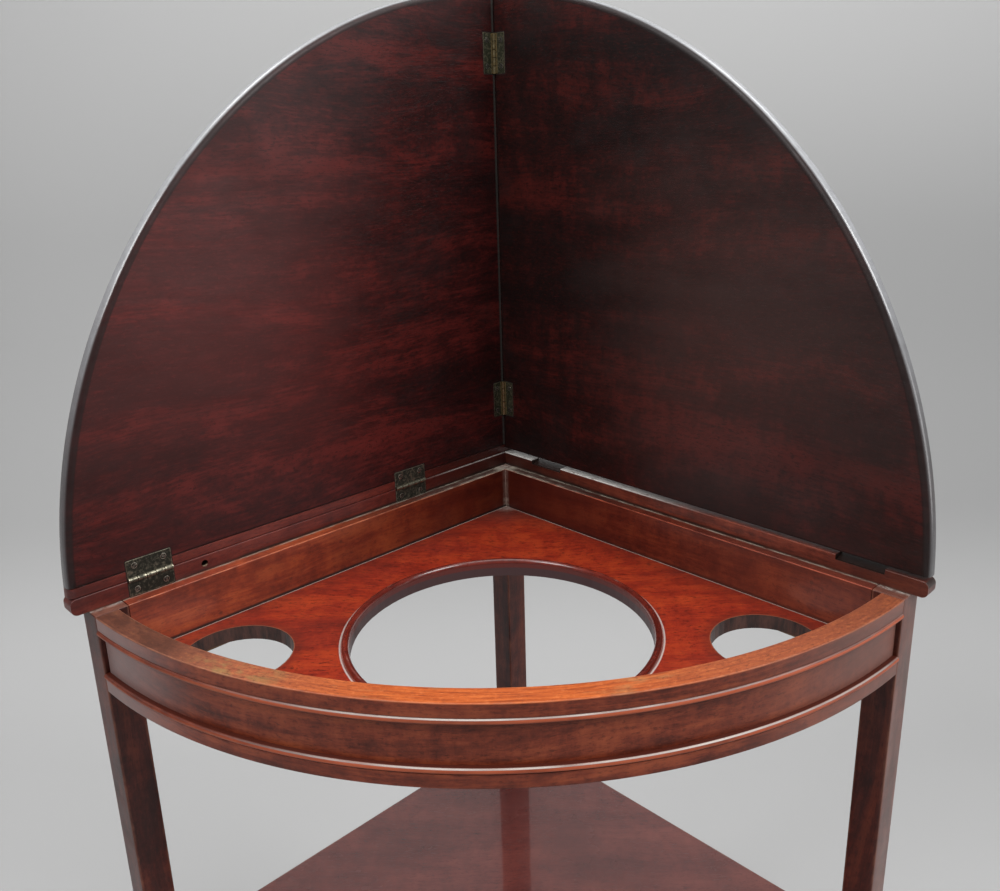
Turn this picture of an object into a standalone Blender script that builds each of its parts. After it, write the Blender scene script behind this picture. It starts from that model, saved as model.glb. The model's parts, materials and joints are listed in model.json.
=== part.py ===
"""Corner washstand of mahogany with a folding top, shown with both leaves standing up.

Metres, +Z up. The stand is a quarter circle in plan. Its back corner points to +Y and its
bowed front to -Y, and the origin lies on the floor below the middle of its outline.

Most pieces are drawn in the wall frame: x runs from the back corner along the left wall,
y along the right wall, z up from the floor. Its zero line is where the front faces of the
two standing leaves meet, which is also the line that the right leaf swings about. A piece
of the right side is the left one with x and y exchanged. Pieces that follow the bow or
slide with the drawer are drawn in the stand frame, whose x and y are the world's.
"""
import math

import bmesh
import bpy
from mathutils import Matrix, Vector

# Main sizes
TOP_RADIUS = 0.459          # folding top, from its back corner to its curved edge
TOP_OVERHANG = 0.012        # strips past the outer face of the front legs
RAIL_TOP = 0.800            # top of the rails above the floor
SHELF_TOP = 0.4585          # top of the lower shelf above the floor
GAP = 0.0003                # seam between two pieces that are fixed to each other
RUNNING_GAP = 0.0008        # room round a piece that slides
CUT_OVERRUN = 0.004         # how far a cutter runs past the face that it opens
EASE = 0.0008               # softened arris of a worked board
ARC_STEPS = 40              # straight steps in a quarter circle
EDGE_STEPS = 3              # steps in a rounded edge

# Legs
LEG_SIZE = 0.025            # square front leg
FOOT_SIZE = 0.021           # the same leg at the floor
FOOT_SWEEP = 0.024          # outward curve of a front foot
SWEEP_HEIGHT = 0.140        # height at which the outward curve starts
SWEEP_STEPS = 8

# Rails and the well for the bowl
RAIL_THICKNESS = 0.0245     # back rails, as thick as the back leg
RAIL_HEIGHT = 0.063
BOW_THICKNESS = 0.0175
PANEL_RECESS = 0.004        # sunk panel of the bowed rail
BAND_TOP = 0.0108           # flush band above the sunk panel
BAND_BOTTOM = 0.0108        # flush band below it
BEAD_WIDTH = 0.0044         # bead along each edge of the panel
BEAD_RISE = 0.0050          # so that it stands a little proud of the bands
BEAD_STEPS = 4
BOARD_DROP = 0.0415         # basin board below the top of the rails
BOARD_THICKNESS = 0.012
BEARER_WIDTH = 0.008
BEARER_HEIGHT = 0.006

# Holes in the basin board
BOWL_PLACE_SHARE = 0.4457   # centre of the bowl's hole from each wall line, of the bow's radius
BOWL_MARGIN = 0.0166        # board between the rim and the bowed rail
RIM_WIDTH = 0.006           # half-round moulding round the bowl's hole
RIM_RISE = 0.0034
RIM_STEPS = 5
DISH_MARGIN = 0.0155        # board between a soap dish hole and its back rail
DISH_MARGIN_FRONT = 0.0126  # board between the same hole and the bowed rail
DISH_RADIUS = 0.042
BOWL_SIDES = 80
DISH_SIDES = 40

# Folding top
LEAF_THICKNESS = 0.014      # the strips that the leaves stand on are as high and as wide
EDGE_ROUND = 0.005          # rounded curved edge
LIPPING_HEIGHT = 0.0075     # lipping along the foot of the left leaf
SWING_GAP_SEAM = 0.0046     # right leaf above its strip, beside the seam
SWING_GAP_END = 0.0028      # and at its free end, which droops a little
FIXING_HOLE_SHARE = 0.764   # old fixing hole in the left strip, of its length
FIXING_HOLE_RADIUS = 0.0028
FIXING_HOLE_DEPTH = 0.008

# Butt hinges
HINGE_LENGTH = 0.036
PLATE_WIDTH = 0.0135
LEAF_PLATE_WIDTH = 0.016    # the wider plate, on the left leaf
PLATE_THICKNESS = 0.0013
KNUCKLE_RADIUS = 0.0022
PIN_RADIUS = 0.0010
KNUCKLES = 5
ROUND_SIDES = 12
SCREW_RADIUS = 0.0013       # hole for the shank
SCREW_HEAD_RADIUS = 0.0026  # countersink at the face
SCREW_INSET = 0.0065        # screw hole from each end of the plate
SCREW_REACH = 0.0085        # screw hole from the pin
STRIP_HINGE_SHARES = (0.2854, 0.8629)   # along the left strip, of its length
SEAM_HINGE_SHARES = (0.1326, 0.8809)    # above the strips, of the same length
NOTCH_ROOM = 0.002          # a strip's notch is this much longer than a hinge, each end
NOTCH_HEIGHT = 0.0048       # from the hinge line down the front of the strip

# Shelf and the frieze with the drawer
SHELF_THICKNESS = 0.012
FRIEZE_HEIGHT = 0.070       # from the shelf's underside to the bottom of the drawer rail
DRAWER_RAIL_HEIGHT = 0.012
DRAWER_RAIL_WIDTH = 0.045
LOWER_RAIL_THICKNESS = 0.018
FRONT_THICKNESS = 0.016     # drawer front and the sham fronts beside it
FRONT_SETBACK = 0.0025      # fronts behind the edge of the shelf
COCK_BEAD_WIDTH = 0.0022    # fine bead along the top and foot of each front
COCK_BEAD_RISE = 0.0011
COCK_BEAD_STEPS = 3
DRAWER_WIDTH = 0.210
DRAWER_ROOM = 0.080         # room between the drawer's back corners and the lower rails
DRAWER_SIDE = 0.009
DRAWER_SIDE_HEIGHT = 0.048
DRAWER_BACK = 0.008
DRAWER_BACK_HEIGHT = 0.038
DRAWER_BOTTOM = 0.005
BOTTOM_RAISE = 0.004        # drawer bottom above the lower edge of the sides
RUNNER_HEIGHT = 0.010
RUNNER_INSIDE = 0.016       # runner under the drawer
RUNNER_OUTSIDE = 0.012      # runner beside it, where the guide stands
GUIDE_HEIGHT = 0.014
STOP_LENGTH = 0.030
STOP_WIDTH = 0.012
STOP_HEIGHT = 0.003

# Turned knob: length from the wood, and its radii
KNOB_LENGTH = 0.019
KNOB_RADIUS = 0.0085
KNOB_BASE_RADIUS = 0.0075
KNOB_SIDES = 24
# along the length and out from the axis, base to crown, as shares of the sizes above
KNOB_BASE_SHARES = ((0, 1.0), (0.10, 1.0), (0.17, 0.72), (0.24, 0.44))
KNOB_HEAD_SHARES = ((0.40, 0.40), (0.55, 0.62), (0.68, 0.96), (0.80, 1.0), (0.92, 0.80), (0.98, 0.42),
                    (1.0, 0.10))

# Stretcher between the legs
STRETCHER_TOP = 0.172
STRETCHER_THICKNESS = 0.010
STRETCHER_HOLD = 0.009      # how far an arm's end laps each face of its leg
STRETCHER_STEPS = 16
# control points of the curved sides, as shares of the way to a front leg
WALL_SIDE_SHARES = ((0.30, 0.27), (0.40, 0.14))
FRONT_SIDE_SHARES = ((0.42, 0.20), (0.20, 0.42))

# Places that follow from the sizes
HINGE_LEVEL = RAIL_TOP + LEAF_THICKNESS
BACK = -LEAF_THICKNESS
RAIL_INSIDE = BACK + RAIL_THICKNESS
LEG_INSIDE = BACK + LEG_SIZE
LEAF_REACH = TOP_RADIUS - LEAF_THICKNESS
BOW_RADIUS = LEAF_REACH - TOP_OVERHANG      # bowed front, about the meeting line of the leaves
LEG_END = BOW_RADIUS
LEG_NEAR = LEG_END - LEG_SIZE
RAIL_BOTTOM = RAIL_TOP - RAIL_HEIGHT
BOARD_TOP = RAIL_TOP - BOARD_DROP
BOARD_BOTTOM = BOARD_TOP - BOARD_THICKNESS
BOW_INNER = BOW_RADIUS - BOW_THICKNESS
BOWL_PLACE = BOW_RADIUS * BOWL_PLACE_SHARE
BOWL_RADIUS = BOW_INNER - BOWL_MARGIN - RIM_WIDTH - BOWL_PLACE * math.sqrt(2)
DISH_NEAR = RAIL_INSIDE + DISH_MARGIN + DISH_RADIUS
DISH_REACH = BOW_INNER - DISH_MARGIN_FRONT - DISH_RADIUS
DISH_FAR = math.sqrt(DISH_REACH ** 2 - DISH_NEAR ** 2)
SHELF_BOTTOM = SHELF_TOP - SHELF_THICKNESS
FRIEZE_BOTTOM = SHELF_BOTTOM - FRIEZE_HEIGHT
DRAWER_FLOOR = FRIEZE_BOTTOM + DRAWER_RAIL_HEIGHT
FRONT_RADIUS = BOW_RADIUS - FRONT_SETBACK
FRONT_INNER = FRONT_RADIUS - FRONT_THICKNESS
HALF_DRAWER = DRAWER_WIDTH / 2
LOWER_BACK_LINE = (BACK + LOWER_RAIL_THICKNESS + GAP) * math.sqrt(2)
DRAWER_REAR = LOWER_BACK_LINE + HALF_DRAWER + DRAWER_ROOM
FRONT_REACH = FRONT_RADIUS + KNOB_LENGTH
BACK_REACH = LEAF_THICKNESS * math.sqrt(2)
CORNER_Y = (FRONT_REACH - BACK_REACH) / 2
TAPER_TOP = FRIEZE_BOTTOM

# Finishes: colour, roughness, metallic
REDDISH = ((0.155, 0.030, 0.012), 0.32, 0)
DARK = ((0.050, 0.008, 0.007), 0.24, 0)
ORANGE = ((0.330, 0.045, 0.012), 0.36, 0)
PALE_OAK = ((0.300, 0.170, 0.080), 0.60, 0)
OLD_BRASS = ((0.110, 0.085, 0.035), 0.48, 1)
BRIGHT_BRASS = ((0.420, 0.280, 0.090), 0.30, 1)


def clear_scene():
    for item in list(bpy.data.objects):
        bpy.data.objects.remove(item, do_unlink=True)


def add_empty(name, parent=None, place=(0, 0, 0), turn=0):
    empty = bpy.data.objects.new(name, None)
    bpy.context.scene.collection.objects.link(empty)
    empty.parent = parent
    empty.location = place
    empty.rotation_euler = (0, 0, turn)
    return empty


def finish_of(name, finish):
    colour, roughness, metallic = finish
    material = bpy.data.materials.new(name + "_finish")
    material.use_nodes = True
    shader = material.node_tree.nodes["Principled BSDF"]
    shader.inputs["Base Color"].default_value = (*colour, 1)
    shader.inputs["Roughness"].default_value = roughness
    shader.inputs["Metallic"].default_value = metallic
    return material


def add_object(name, bm, parent, finish=None, ease=0, smooth=False):
    """Put a bmesh into the scene; without a finish it is a cutter."""
    bmesh.ops.recalc_face_normals(bm, faces=bm.faces)
    mesh = bpy.data.meshes.new(name)
    bm.to_mesh(mesh)
    bm.free()
    item = bpy.data.objects.new(name, mesh)
    bpy.context.scene.collection.objects.link(item)
    item.parent = parent
    if finish:
        mesh.materials.append(finish_of(name, finish))
    else:
        item.hide_render = True
        item.display_type = "WIRE"
    if smooth:
        mesh.shade_smooth()
        mesh.set_sharp_from_angle(angle=math.radians(35))
    if ease:
        bevel = item.modifiers.new("eased_arris", "BEVEL")
        bevel.width = ease
        bevel.segments = 1
        bevel.limit_method = "ANGLE"
        bevel.angle_limit = math.radians(50)
    return item


def combine(item, other, operation):
    step = item.modifiers.new(other.name, "BOOLEAN")
    step.operation = operation
    step.object = other
    step.solver = "EXACT"
    step.use_self = True


def exchange(points):
    """The same points on the right side of the stand."""
    return [(y, x, z) for x, y, z in points]


def loft(rings, closed=False):
    """Skin outlines of equal count one after another; an open run gets a face at each end."""
    bm = bmesh.new()
    rows = [[bm.verts.new(point) for point in ring] for ring in rings]
    pairs = list(zip(rows, rows[1:] + rows[:1] if closed else rows[1:]))
    for low, high in pairs:
        for index in range(len(low)):
            after = (index + 1) % len(low)
            bm.faces.new((low[index], low[after], high[after], high[index]))
    if not closed:
        bm.faces.new(rows[0])
        bm.faces.new(rows[-1])
    return bm


def prism(outline, low, high):
    """A flat outline of x and y between two heights."""
    return loft([[(x, y, z) for x, y in outline] for z in (low, high)])


def box(x_range, y_range, z_range):
    (left, right), (front, back) = x_range, y_range
    return prism([(left, front), (right, front), (right, back), (left, back)], *z_range)


def rod(radius, length, sides, frame, tip_radius=None):
    """A round bar centred on a frame and lying along its z axis."""
    bm = bmesh.new()
    end = radius if tip_radius is None else tip_radius
    bmesh.ops.create_cone(bm, cap_ends=True, segments=sides, radius1=radius, radius2=end, depth=length,
                          matrix=frame)
    return bm


def merge(target, *others):
    """Gather several closed shells into one bmesh, for use as one cutter."""
    for other in others:
        mesh = bpy.data.meshes.new("shell")
        other.to_mesh(mesh)
        other.free()
        target.from_mesh(mesh)
        bpy.data.meshes.remove(mesh)
    return target


def frame_of(x_axis, y_axis, z_axis, origin):
    turn = Matrix((x_axis, y_axis, z_axis)).transposed().to_4x4()
    return Matrix.Translation(origin) @ turn


def arc(centre, radius, start, end, steps):
    """Points on a circle; centre and points are pairs."""
    angles = [start + (end - start) * index / steps for index in range(steps + 1)]
    return [(centre[0] + radius * math.cos(a), centre[1] + radius * math.sin(a)) for a in angles]


def curve(ends, controls, steps):
    """A cubic curve between two ends, steered by two controls; its last point is left out."""
    points = (ends[0], controls[0], controls[1], ends[1])
    run = []
    for index in range(steps):
        t = index / steps
        weights = ((1 - t) ** 3, 3 * t * (1 - t) ** 2, 3 * t * t * (1 - t), t ** 3)
        run.append(tuple(sum(w * p[axis] for w, p in zip(weights, points)) for axis in (0, 1)))
    return run


def rounded_edge(thickness, radius):
    """Steps from one face of a board to the other round its edge: inset from the edge, height."""
    steps = []
    for centre, first in ((radius, -90), (thickness - radius, 0)):
        for index in range(EDGE_STEPS + 1):
            angle = math.radians(first + 90 * index / EDGE_STEPS)
            steps.append((radius - radius * math.cos(angle), centre + radius * math.sin(angle)))
    return steps


def leg_place(height):
    """Near side, end and inner side of a front leg at a height: it tapers and sweeps out below."""
    taper = min(1, max(0, 1 - height / TAPER_TOP))
    size = LEG_SIZE - (LEG_SIZE - FOOT_SIZE) * taper
    sweep = FOOT_SWEEP * max(0, 1 - height / SWEEP_HEIGHT) ** 2
    return LEG_END + sweep - size, LEG_END + sweep, BACK + size


def make_legs(walls):
    levels = [SWEEP_HEIGHT * index / SWEEP_STEPS for index in range(SWEEP_STEPS + 1)]
    levels += [TAPER_TOP, RAIL_TOP]
    rings = []
    for z in levels:
        near, end, inside = leg_place(z)
        rings.append([(near, BACK, z), (end, BACK, z), (end, inside, z), (near, inside, z)])
    add_object("left_leg", loft(rings), walls, REDDISH, ease=EASE)
    add_object("right_leg", loft([exchange(ring) for ring in rings]), walls, REDDISH, ease=EASE)
    rings = []
    for z in (0, TAPER_TOP, RAIL_TOP):
        inside = RAIL_INSIDE if z else BACK + FOOT_SIZE
        rings.append([(BACK, BACK, z), (inside, BACK, z), (inside, inside, z), (BACK, inside, z)])
    add_object("back_leg", loft(rings), walls, REDDISH, ease=EASE)


def pair_of_bars(names, walls, x_range, y_range, z_range, finish):
    """One bar along the left wall and its twin along the right."""
    add_object(names[0], box(x_range, y_range, z_range), walls, finish, ease=EASE)
    add_object(names[1], box(y_range, x_range, z_range), walls, finish, ease=EASE)


def bow(profile, start, end, steps=ARC_STEPS):
    """Carry a profile of radius and height round the bow, between two end planes.

    start and end give the angle from the middle of the front at which a radius meets
    its end plane, so a flat end face stays flat across the whole thickness.
    """
    rings = []
    for index in range(steps + 1):
        ring = []
        for radius, height in profile:
            angle = start(radius) + (end(radius) - start(radius)) * index / steps
            ring.append((radius * math.sin(angle), -radius * math.cos(angle), height))
        rings.append(ring)
    return loft(rings)


def at_leg(radius):
    """Angle from the middle of the front to the inner side of the right leg."""
    return math.pi / 4 - math.asin((LEG_INSIDE + GAP) / radius)


def at_drawer(radius, clearance):
    """Angle to a plane beside the drawer."""
    return math.asin((HALF_DRAWER + clearance) / radius)


def make_upper_frame(walls, stand):
    span = (RAIL_INSIDE + GAP, LEG_NEAR - GAP)
    pair_of_bars(("left_back_rail", "right_back_rail"), walls, span, (BACK, RAIL_INSIDE),
                 (RAIL_BOTTOM, RAIL_TOP), REDDISH)

    panel = BOW_RADIUS - PANEL_RECESS
    panel_top = RAIL_TOP - BAND_TOP
    panel_bottom = RAIL_BOTTOM + BAND_BOTTOM
    profile = [(BOW_INNER, RAIL_BOTTOM), (BOW_RADIUS, RAIL_BOTTOM), (BOW_RADIUS, panel_bottom),
               (panel, panel_bottom), (panel, panel_top), (BOW_RADIUS, panel_top),
               (BOW_RADIUS, RAIL_TOP), (BOW_INNER, RAIL_TOP)]
    add_object("bow_rail", bow(profile, lambda r: -at_leg(r), at_leg), stand, REDDISH, smooth=True)

    seat = panel + GAP
    for name, middle in (("apron_upper_bead", panel_top - GAP - BEAD_WIDTH / 2),
                         ("apron_lower_bead", panel_bottom + GAP + BEAD_WIDTH / 2)):
        profile = [(seat, middle - BEAD_WIDTH / 2), (seat, middle + BEAD_WIDTH / 2)]
        for index in range(BEAD_STEPS + 1):
            angle = math.pi * index / BEAD_STEPS
            half = BEAD_WIDTH / 2
            radius = seat + BEAD_RISE - half + half * math.sin(angle)
            profile.append((radius, middle + half * math.cos(angle)))
        add_object(name, bow(profile, lambda r: -at_leg(r), at_leg), stand, REDDISH, smooth=True)


def quadrant_outline(radius, inner, leg_side, notched_back):
    """Plan of a board between the walls and the bow, notched round the two front legs."""
    near = LEG_NEAR - GAP
    side = LEG_INSIDE + GAP
    start = math.asin(side / radius)
    back = RAIL_INSIDE + GAP
    half = [(back, back), (back, leg_side)] if notched_back else [(inner, inner)]
    half += [(near, leg_side), (near, side)]
    far = [(y, x) for x, y in reversed(half[1:])]
    return half + arc((0, 0), radius, start, math.pi / 2 - start, ARC_STEPS) + far


def make_basin_board(walls, stand):
    inner = RAIL_INSIDE + GAP
    outline = quadrant_outline(BOW_INNER - GAP, inner, inner, False)
    board = add_object("basin_board", prism(outline, BOARD_BOTTOM, BOARD_TOP), walls, ORANGE)
    middle = (BOARD_TOP + BOARD_BOTTOM) / 2
    depth = BOARD_THICKNESS + 2 * CUT_OVERRUN
    holes = rod(BOWL_RADIUS, depth, BOWL_SIDES, Matrix.Translation((BOWL_PLACE, BOWL_PLACE, middle)))
    for x, y in ((DISH_FAR, DISH_NEAR), (DISH_NEAR, DISH_FAR)):
        merge(holes, rod(DISH_RADIUS, depth, DISH_SIDES, Matrix.Translation((x, y, middle))))
    combine(board, add_object("board_holes", holes, walls), "DIFFERENCE")

    centre = (BOWL_PLACE, BOWL_PLACE)
    foot = BOARD_TOP + GAP
    rings = []
    for step in range(BOWL_SIDES):
        turn = 2 * math.pi * step / BOWL_SIDES
        ring = []
        for index in range(RIM_STEPS + 1):
            angle = math.pi * index / RIM_STEPS
            reach = BOWL_RADIUS + RIM_WIDTH / 2 - RIM_WIDTH / 2 * math.cos(angle)
            ring.append((centre[0] + reach * math.cos(turn), centre[1] + reach * math.sin(turn),
                         foot + RIM_RISE * math.sin(angle)))
        rings.append(ring)
    add_object("basin_rim", loft(rings, closed=True), walls, REDDISH, smooth=True)

    top = BOARD_BOTTOM - GAP
    bottom = top - BEARER_HEIGHT
    near = RAIL_INSIDE + GAP
    names = ("left_board_bearer", "right_board_bearer")
    pair_of_bars(names, walls, (near + BEARER_WIDTH + GAP, LEG_NEAR - GAP), (near, near + BEARER_WIDTH),
                 (bottom, top), PALE_OAK)
    outer = BOW_INNER - GAP
    stop = near + BEARER_WIDTH + GAP
    profile = [(outer - BEARER_WIDTH, bottom), (outer, bottom), (outer, top), (outer - BEARER_WIDTH, top)]

    def bearer_end(radius):
        return math.pi / 4 - math.asin(stop / radius)
    add_object("bow_board_bearer", bow(profile, lambda r: -bearer_end(r), bearer_end), stand, PALE_OAK)


def strip_rings(start):
    """Strip along the left wall, with the rounded curved edge of the top at its end."""
    rings = []
    for inset, height in rounded_edge(LEAF_THICKNESS - 2 * GAP, EDGE_ROUND):
        radius = TOP_RADIUS - inset
        z = RAIL_TOP + GAP + height
        first = 0
        last = math.asin((0 - BACK) / radius)
        end = [(x, y, z) for x, y in arc((BACK, BACK), radius, first, last, 2)]
        rings.append([(start, BACK, z)] + end + [(start, 0, z)])
    return rings


def leaf_rings(inner, foot_at, top=None):
    """A leaf standing on the left wall; foot_at gives the height of its foot at a distance.

    Its curved edge is part of a circle about the back corner of the strips. With a top it
    is only the lipping along the foot.
    """
    rings = []
    level = RAIL_TOP
    for inset, height in rounded_edge(LEAF_THICKNESS - GAP, EDGE_ROUND):
        radius = TOP_RADIUS - inset
        y = BACK + height
        first = math.asin((foot_at(BACK + radius) - level) / radius)
        last = math.acos((inner - BACK) / radius) if top is None else math.asin((top - level) / radius)
        steps = ARC_STEPS if top is None else 2
        edge = [(x, y, z) for x, z in arc((BACK, level), radius, first, last, steps)]
        ring = [(inner, y, foot_at(inner))] + edge
        if top is not None:
            ring.append((inner, y, top))
        rings.append(ring)
    return rings


class HingeSeat:
    """Where one plate of a butt hinge lies: pin direction, reach across the face, face normal."""

    def __init__(self, pin, reach, normal, origin, width=PLATE_WIDTH):
        self.width = width
        self.frame = frame_of(pin, reach, normal, origin)
        self.along = frame_of(reach, normal, pin, origin)

    def pocket(self):
        """Recess for the plate and its knuckles, in the board that carries them."""
        half = HINGE_LENGTH / 2 + GAP
        plate = box((-half, half), (-GAP, self.width + GAP), (-PLATE_THICKNESS - 2 * GAP, CUT_OVERRUN))
        plate.transform(self.frame)
        barrel = rod(KNUCKLE_RADIUS + GAP, 2 * half, ROUND_SIDES, self.along)
        return plate, barrel

    def plate(self, name, parent, own):
        """Countersunk plate with its share of the knuckles, numbered from one end."""
        half = HINGE_LENGTH / 2
        slab = box((-half, half), (0, self.width), (-PLATE_THICKNESS - GAP, -GAP))
        slab.transform(self.frame)
        item = add_object(name, slab, parent, OLD_BRASS)
        step = HINGE_LENGTH / KNUCKLES
        knuckles = bmesh.new()
        room = bmesh.new()
        for index in range(KNUCKLES):
            shift = Matrix.Translation((0, 0, (index + 0.5) * step - half))
            if index in own:
                merge(knuckles, rod(KNUCKLE_RADIUS, step - GAP, ROUND_SIDES, self.along @ shift))
            else:
                merge(room, rod(KNUCKLE_RADIUS + GAP, step + GAP, ROUND_SIDES, self.along @ shift))
        combine(item, add_object(name + "_room", room, parent), "DIFFERENCE")
        combine(item, add_object(name + "_knuckles", knuckles, parent), "UNION")
        bores = rod(PIN_RADIUS + GAP, HINGE_LENGTH + CUT_OVERRUN, ROUND_SIDES, self.along)
        for place in (SCREW_INSET - half, half - SCREW_INSET):
            reach = self.width - PLATE_WIDTH + SCREW_REACH
            hole = Matrix.Translation((place, reach, -GAP - PLATE_THICKNESS / 2))
            merge(bores, rod(SCREW_RADIUS, PLATE_THICKNESS + 2 * GAP, ROUND_SIDES, self.frame @ hole,
                             tip_radius=SCREW_HEAD_RADIUS))
        combine(item, add_object(name + "_bores", bores, parent), "DIFFERENCE")

    def pin(self, name, parent):
        bar = rod(PIN_RADIUS, HINGE_LENGTH, ROUND_SIDES, self.along)
        add_object(name, bar, parent, OLD_BRASS, smooth=True)


def make_top(walls, swing):
    """Strips, leaves, lipping and the four butt hinges between them."""
    left_strip = add_object("left_strip", loft(strip_rings(BACK)), walls, DARK, smooth=True)
    rings = [exchange(ring) for ring in strip_rings(GAP)]
    right_strip = add_object("right_strip", loft(rings), walls, DARK, smooth=True)

    foot = HINGE_LEVEL + GAP
    lip_top = foot + LIPPING_HEIGHT
    rings = leaf_rings(BACK, lambda x: lip_top + GAP)
    left_leaf = add_object("left_leaf", loft(rings), walls, DARK, smooth=True)
    rings = leaf_rings(BACK, lambda x: foot, lip_top)
    lipping = add_object("left_leaf_lipping", loft(rings), walls, DARK, smooth=True)

    droop = (SWING_GAP_SEAM - SWING_GAP_END) / LEAF_REACH
    rings = leaf_rings(GAP, lambda x: HINGE_LEVEL + SWING_GAP_SEAM - droop * x)
    right_leaf = add_object("right_leaf", loft([exchange(ring) for ring in rings]), swing, DARK, smooth=True)

    x_axis, y_axis, z_axis = Vector((1, 0, 0)), Vector((0, 1, 0)), Vector((0, 0, 1))
    leaf_cuts, strip_cuts, swing_cuts = bmesh.new(), bmesh.new(), bmesh.new()
    for word, share in zip(("inner", "outer"), STRIP_HINGE_SHARES):
        origin = Vector((LEAF_REACH * share, 0, HINGE_LEVEL))
        upper = HingeSeat(-x_axis, z_axis, y_axis, origin, LEAF_PLATE_WIDTH)
        lower = HingeSeat(x_axis, -z_axis, y_axis, origin)
        merge(leaf_cuts, *upper.pocket())
        merge(strip_cuts, *lower.pocket())
        upper.plate(word + "_strip_hinge_leaf_plate", walls, (1, 3))
        lower.plate(word + "_strip_hinge_strip_plate", walls, (0, 2, 4))
        lower.pin(word + "_strip_hinge_pin", walls)
    notches = bmesh.new()
    for word, share in zip(("lower", "upper"), SEAM_HINGE_SHARES):
        place = LEAF_REACH * share
        origin = Vector((0, 0, HINGE_LEVEL + place))
        fixed = HingeSeat(z_axis, x_axis, y_axis, origin)
        moving = HingeSeat(-z_axis, y_axis, x_axis, origin)
        merge(leaf_cuts, *fixed.pocket())
        merge(swing_cuts, *moving.pocket())
        fixed.plate(word + "_seam_hinge_left_plate", walls, (0, 2, 4))
        moving.plate(word + "_seam_hinge_right_plate", swing, (1, 3))
        fixed.pin(word + "_seam_hinge_pin", walls)
        reach = HINGE_LENGTH / 2 + NOTCH_ROOM
        depth = KNUCKLE_RADIUS + GAP
        merge(notches, box((-depth, CUT_OVERRUN), (place - reach, place + reach),
                           (HINGE_LEVEL - NOTCH_HEIGHT, HINGE_LEVEL + depth)))
    place = Vector((LEAF_REACH * FIXING_HOLE_SHARE, 0, RAIL_TOP + LEAF_THICKNESS / 2))
    hole = frame_of(z_axis, x_axis, y_axis, place)
    merge(strip_cuts, rod(FIXING_HOLE_RADIUS, 2 * FIXING_HOLE_DEPTH, ROUND_SIDES, hole))

    leaf_cutter = add_object("left_leaf_pockets", leaf_cuts, walls)
    combine(left_leaf, leaf_cutter, "DIFFERENCE")
    combine(lipping, leaf_cutter, "DIFFERENCE")
    combine(left_strip, add_object("left_strip_pockets", strip_cuts, walls), "DIFFERENCE")
    combine(right_strip, add_object("right_strip_notches", notches, walls), "DIFFERENCE")
    combine(right_leaf, add_object("right_leaf_pockets", swing_cuts, swing), "DIFFERENCE")


def knob_profile():
    """Radius and distance from the wood, from the base to the small flat at the crown."""
    sizes = [(KNOB_BASE_RADIUS, KNOB_BASE_SHARES), (KNOB_RADIUS, KNOB_HEAD_SHARES)]
    length = KNOB_LENGTH - GAP
    return [(size * wide, GAP + length * along) for size, shares in sizes for along, wide in shares]


def add_knob(name, parent, angle, height):
    """Turn the knob's profile about its axis, which stands square on the bowed front."""
    outward = Vector((math.sin(angle), -math.cos(angle), 0))
    up = Vector((0, 0, 1))
    frame = frame_of(up.cross(outward), up, outward, outward * FRONT_RADIUS + up * height)
    turns = [2 * math.pi * step / KNOB_SIDES for step in range(KNOB_SIDES)]
    rings = []
    for radius, along in knob_profile():
        rings.append([frame @ Vector((radius * math.cos(t), radius * math.sin(t), along)) for t in turns])
    add_object(name, loft(rings), parent, BRIGHT_BRASS, smooth=True)


def front_profile(low, top):
    """Section of a bowed front: a flat face with a fine half-round bead along each edge."""
    points = [(FRONT_INNER, low)]
    for edge, inward in ((low, 1), (top, -1)):
        bead = []
        for index in range(COCK_BEAD_STEPS + 1):
            angle = math.pi * index / COCK_BEAD_STEPS
            along = COCK_BEAD_WIDTH * (1 - math.cos(angle)) / 2
            bead.append((FRONT_RADIUS + COCK_BEAD_RISE * math.sin(angle), edge + inward * along))
        points += bead if inward > 0 else bead[::-1]
    return points + [(FRONT_INNER, top)]


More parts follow.
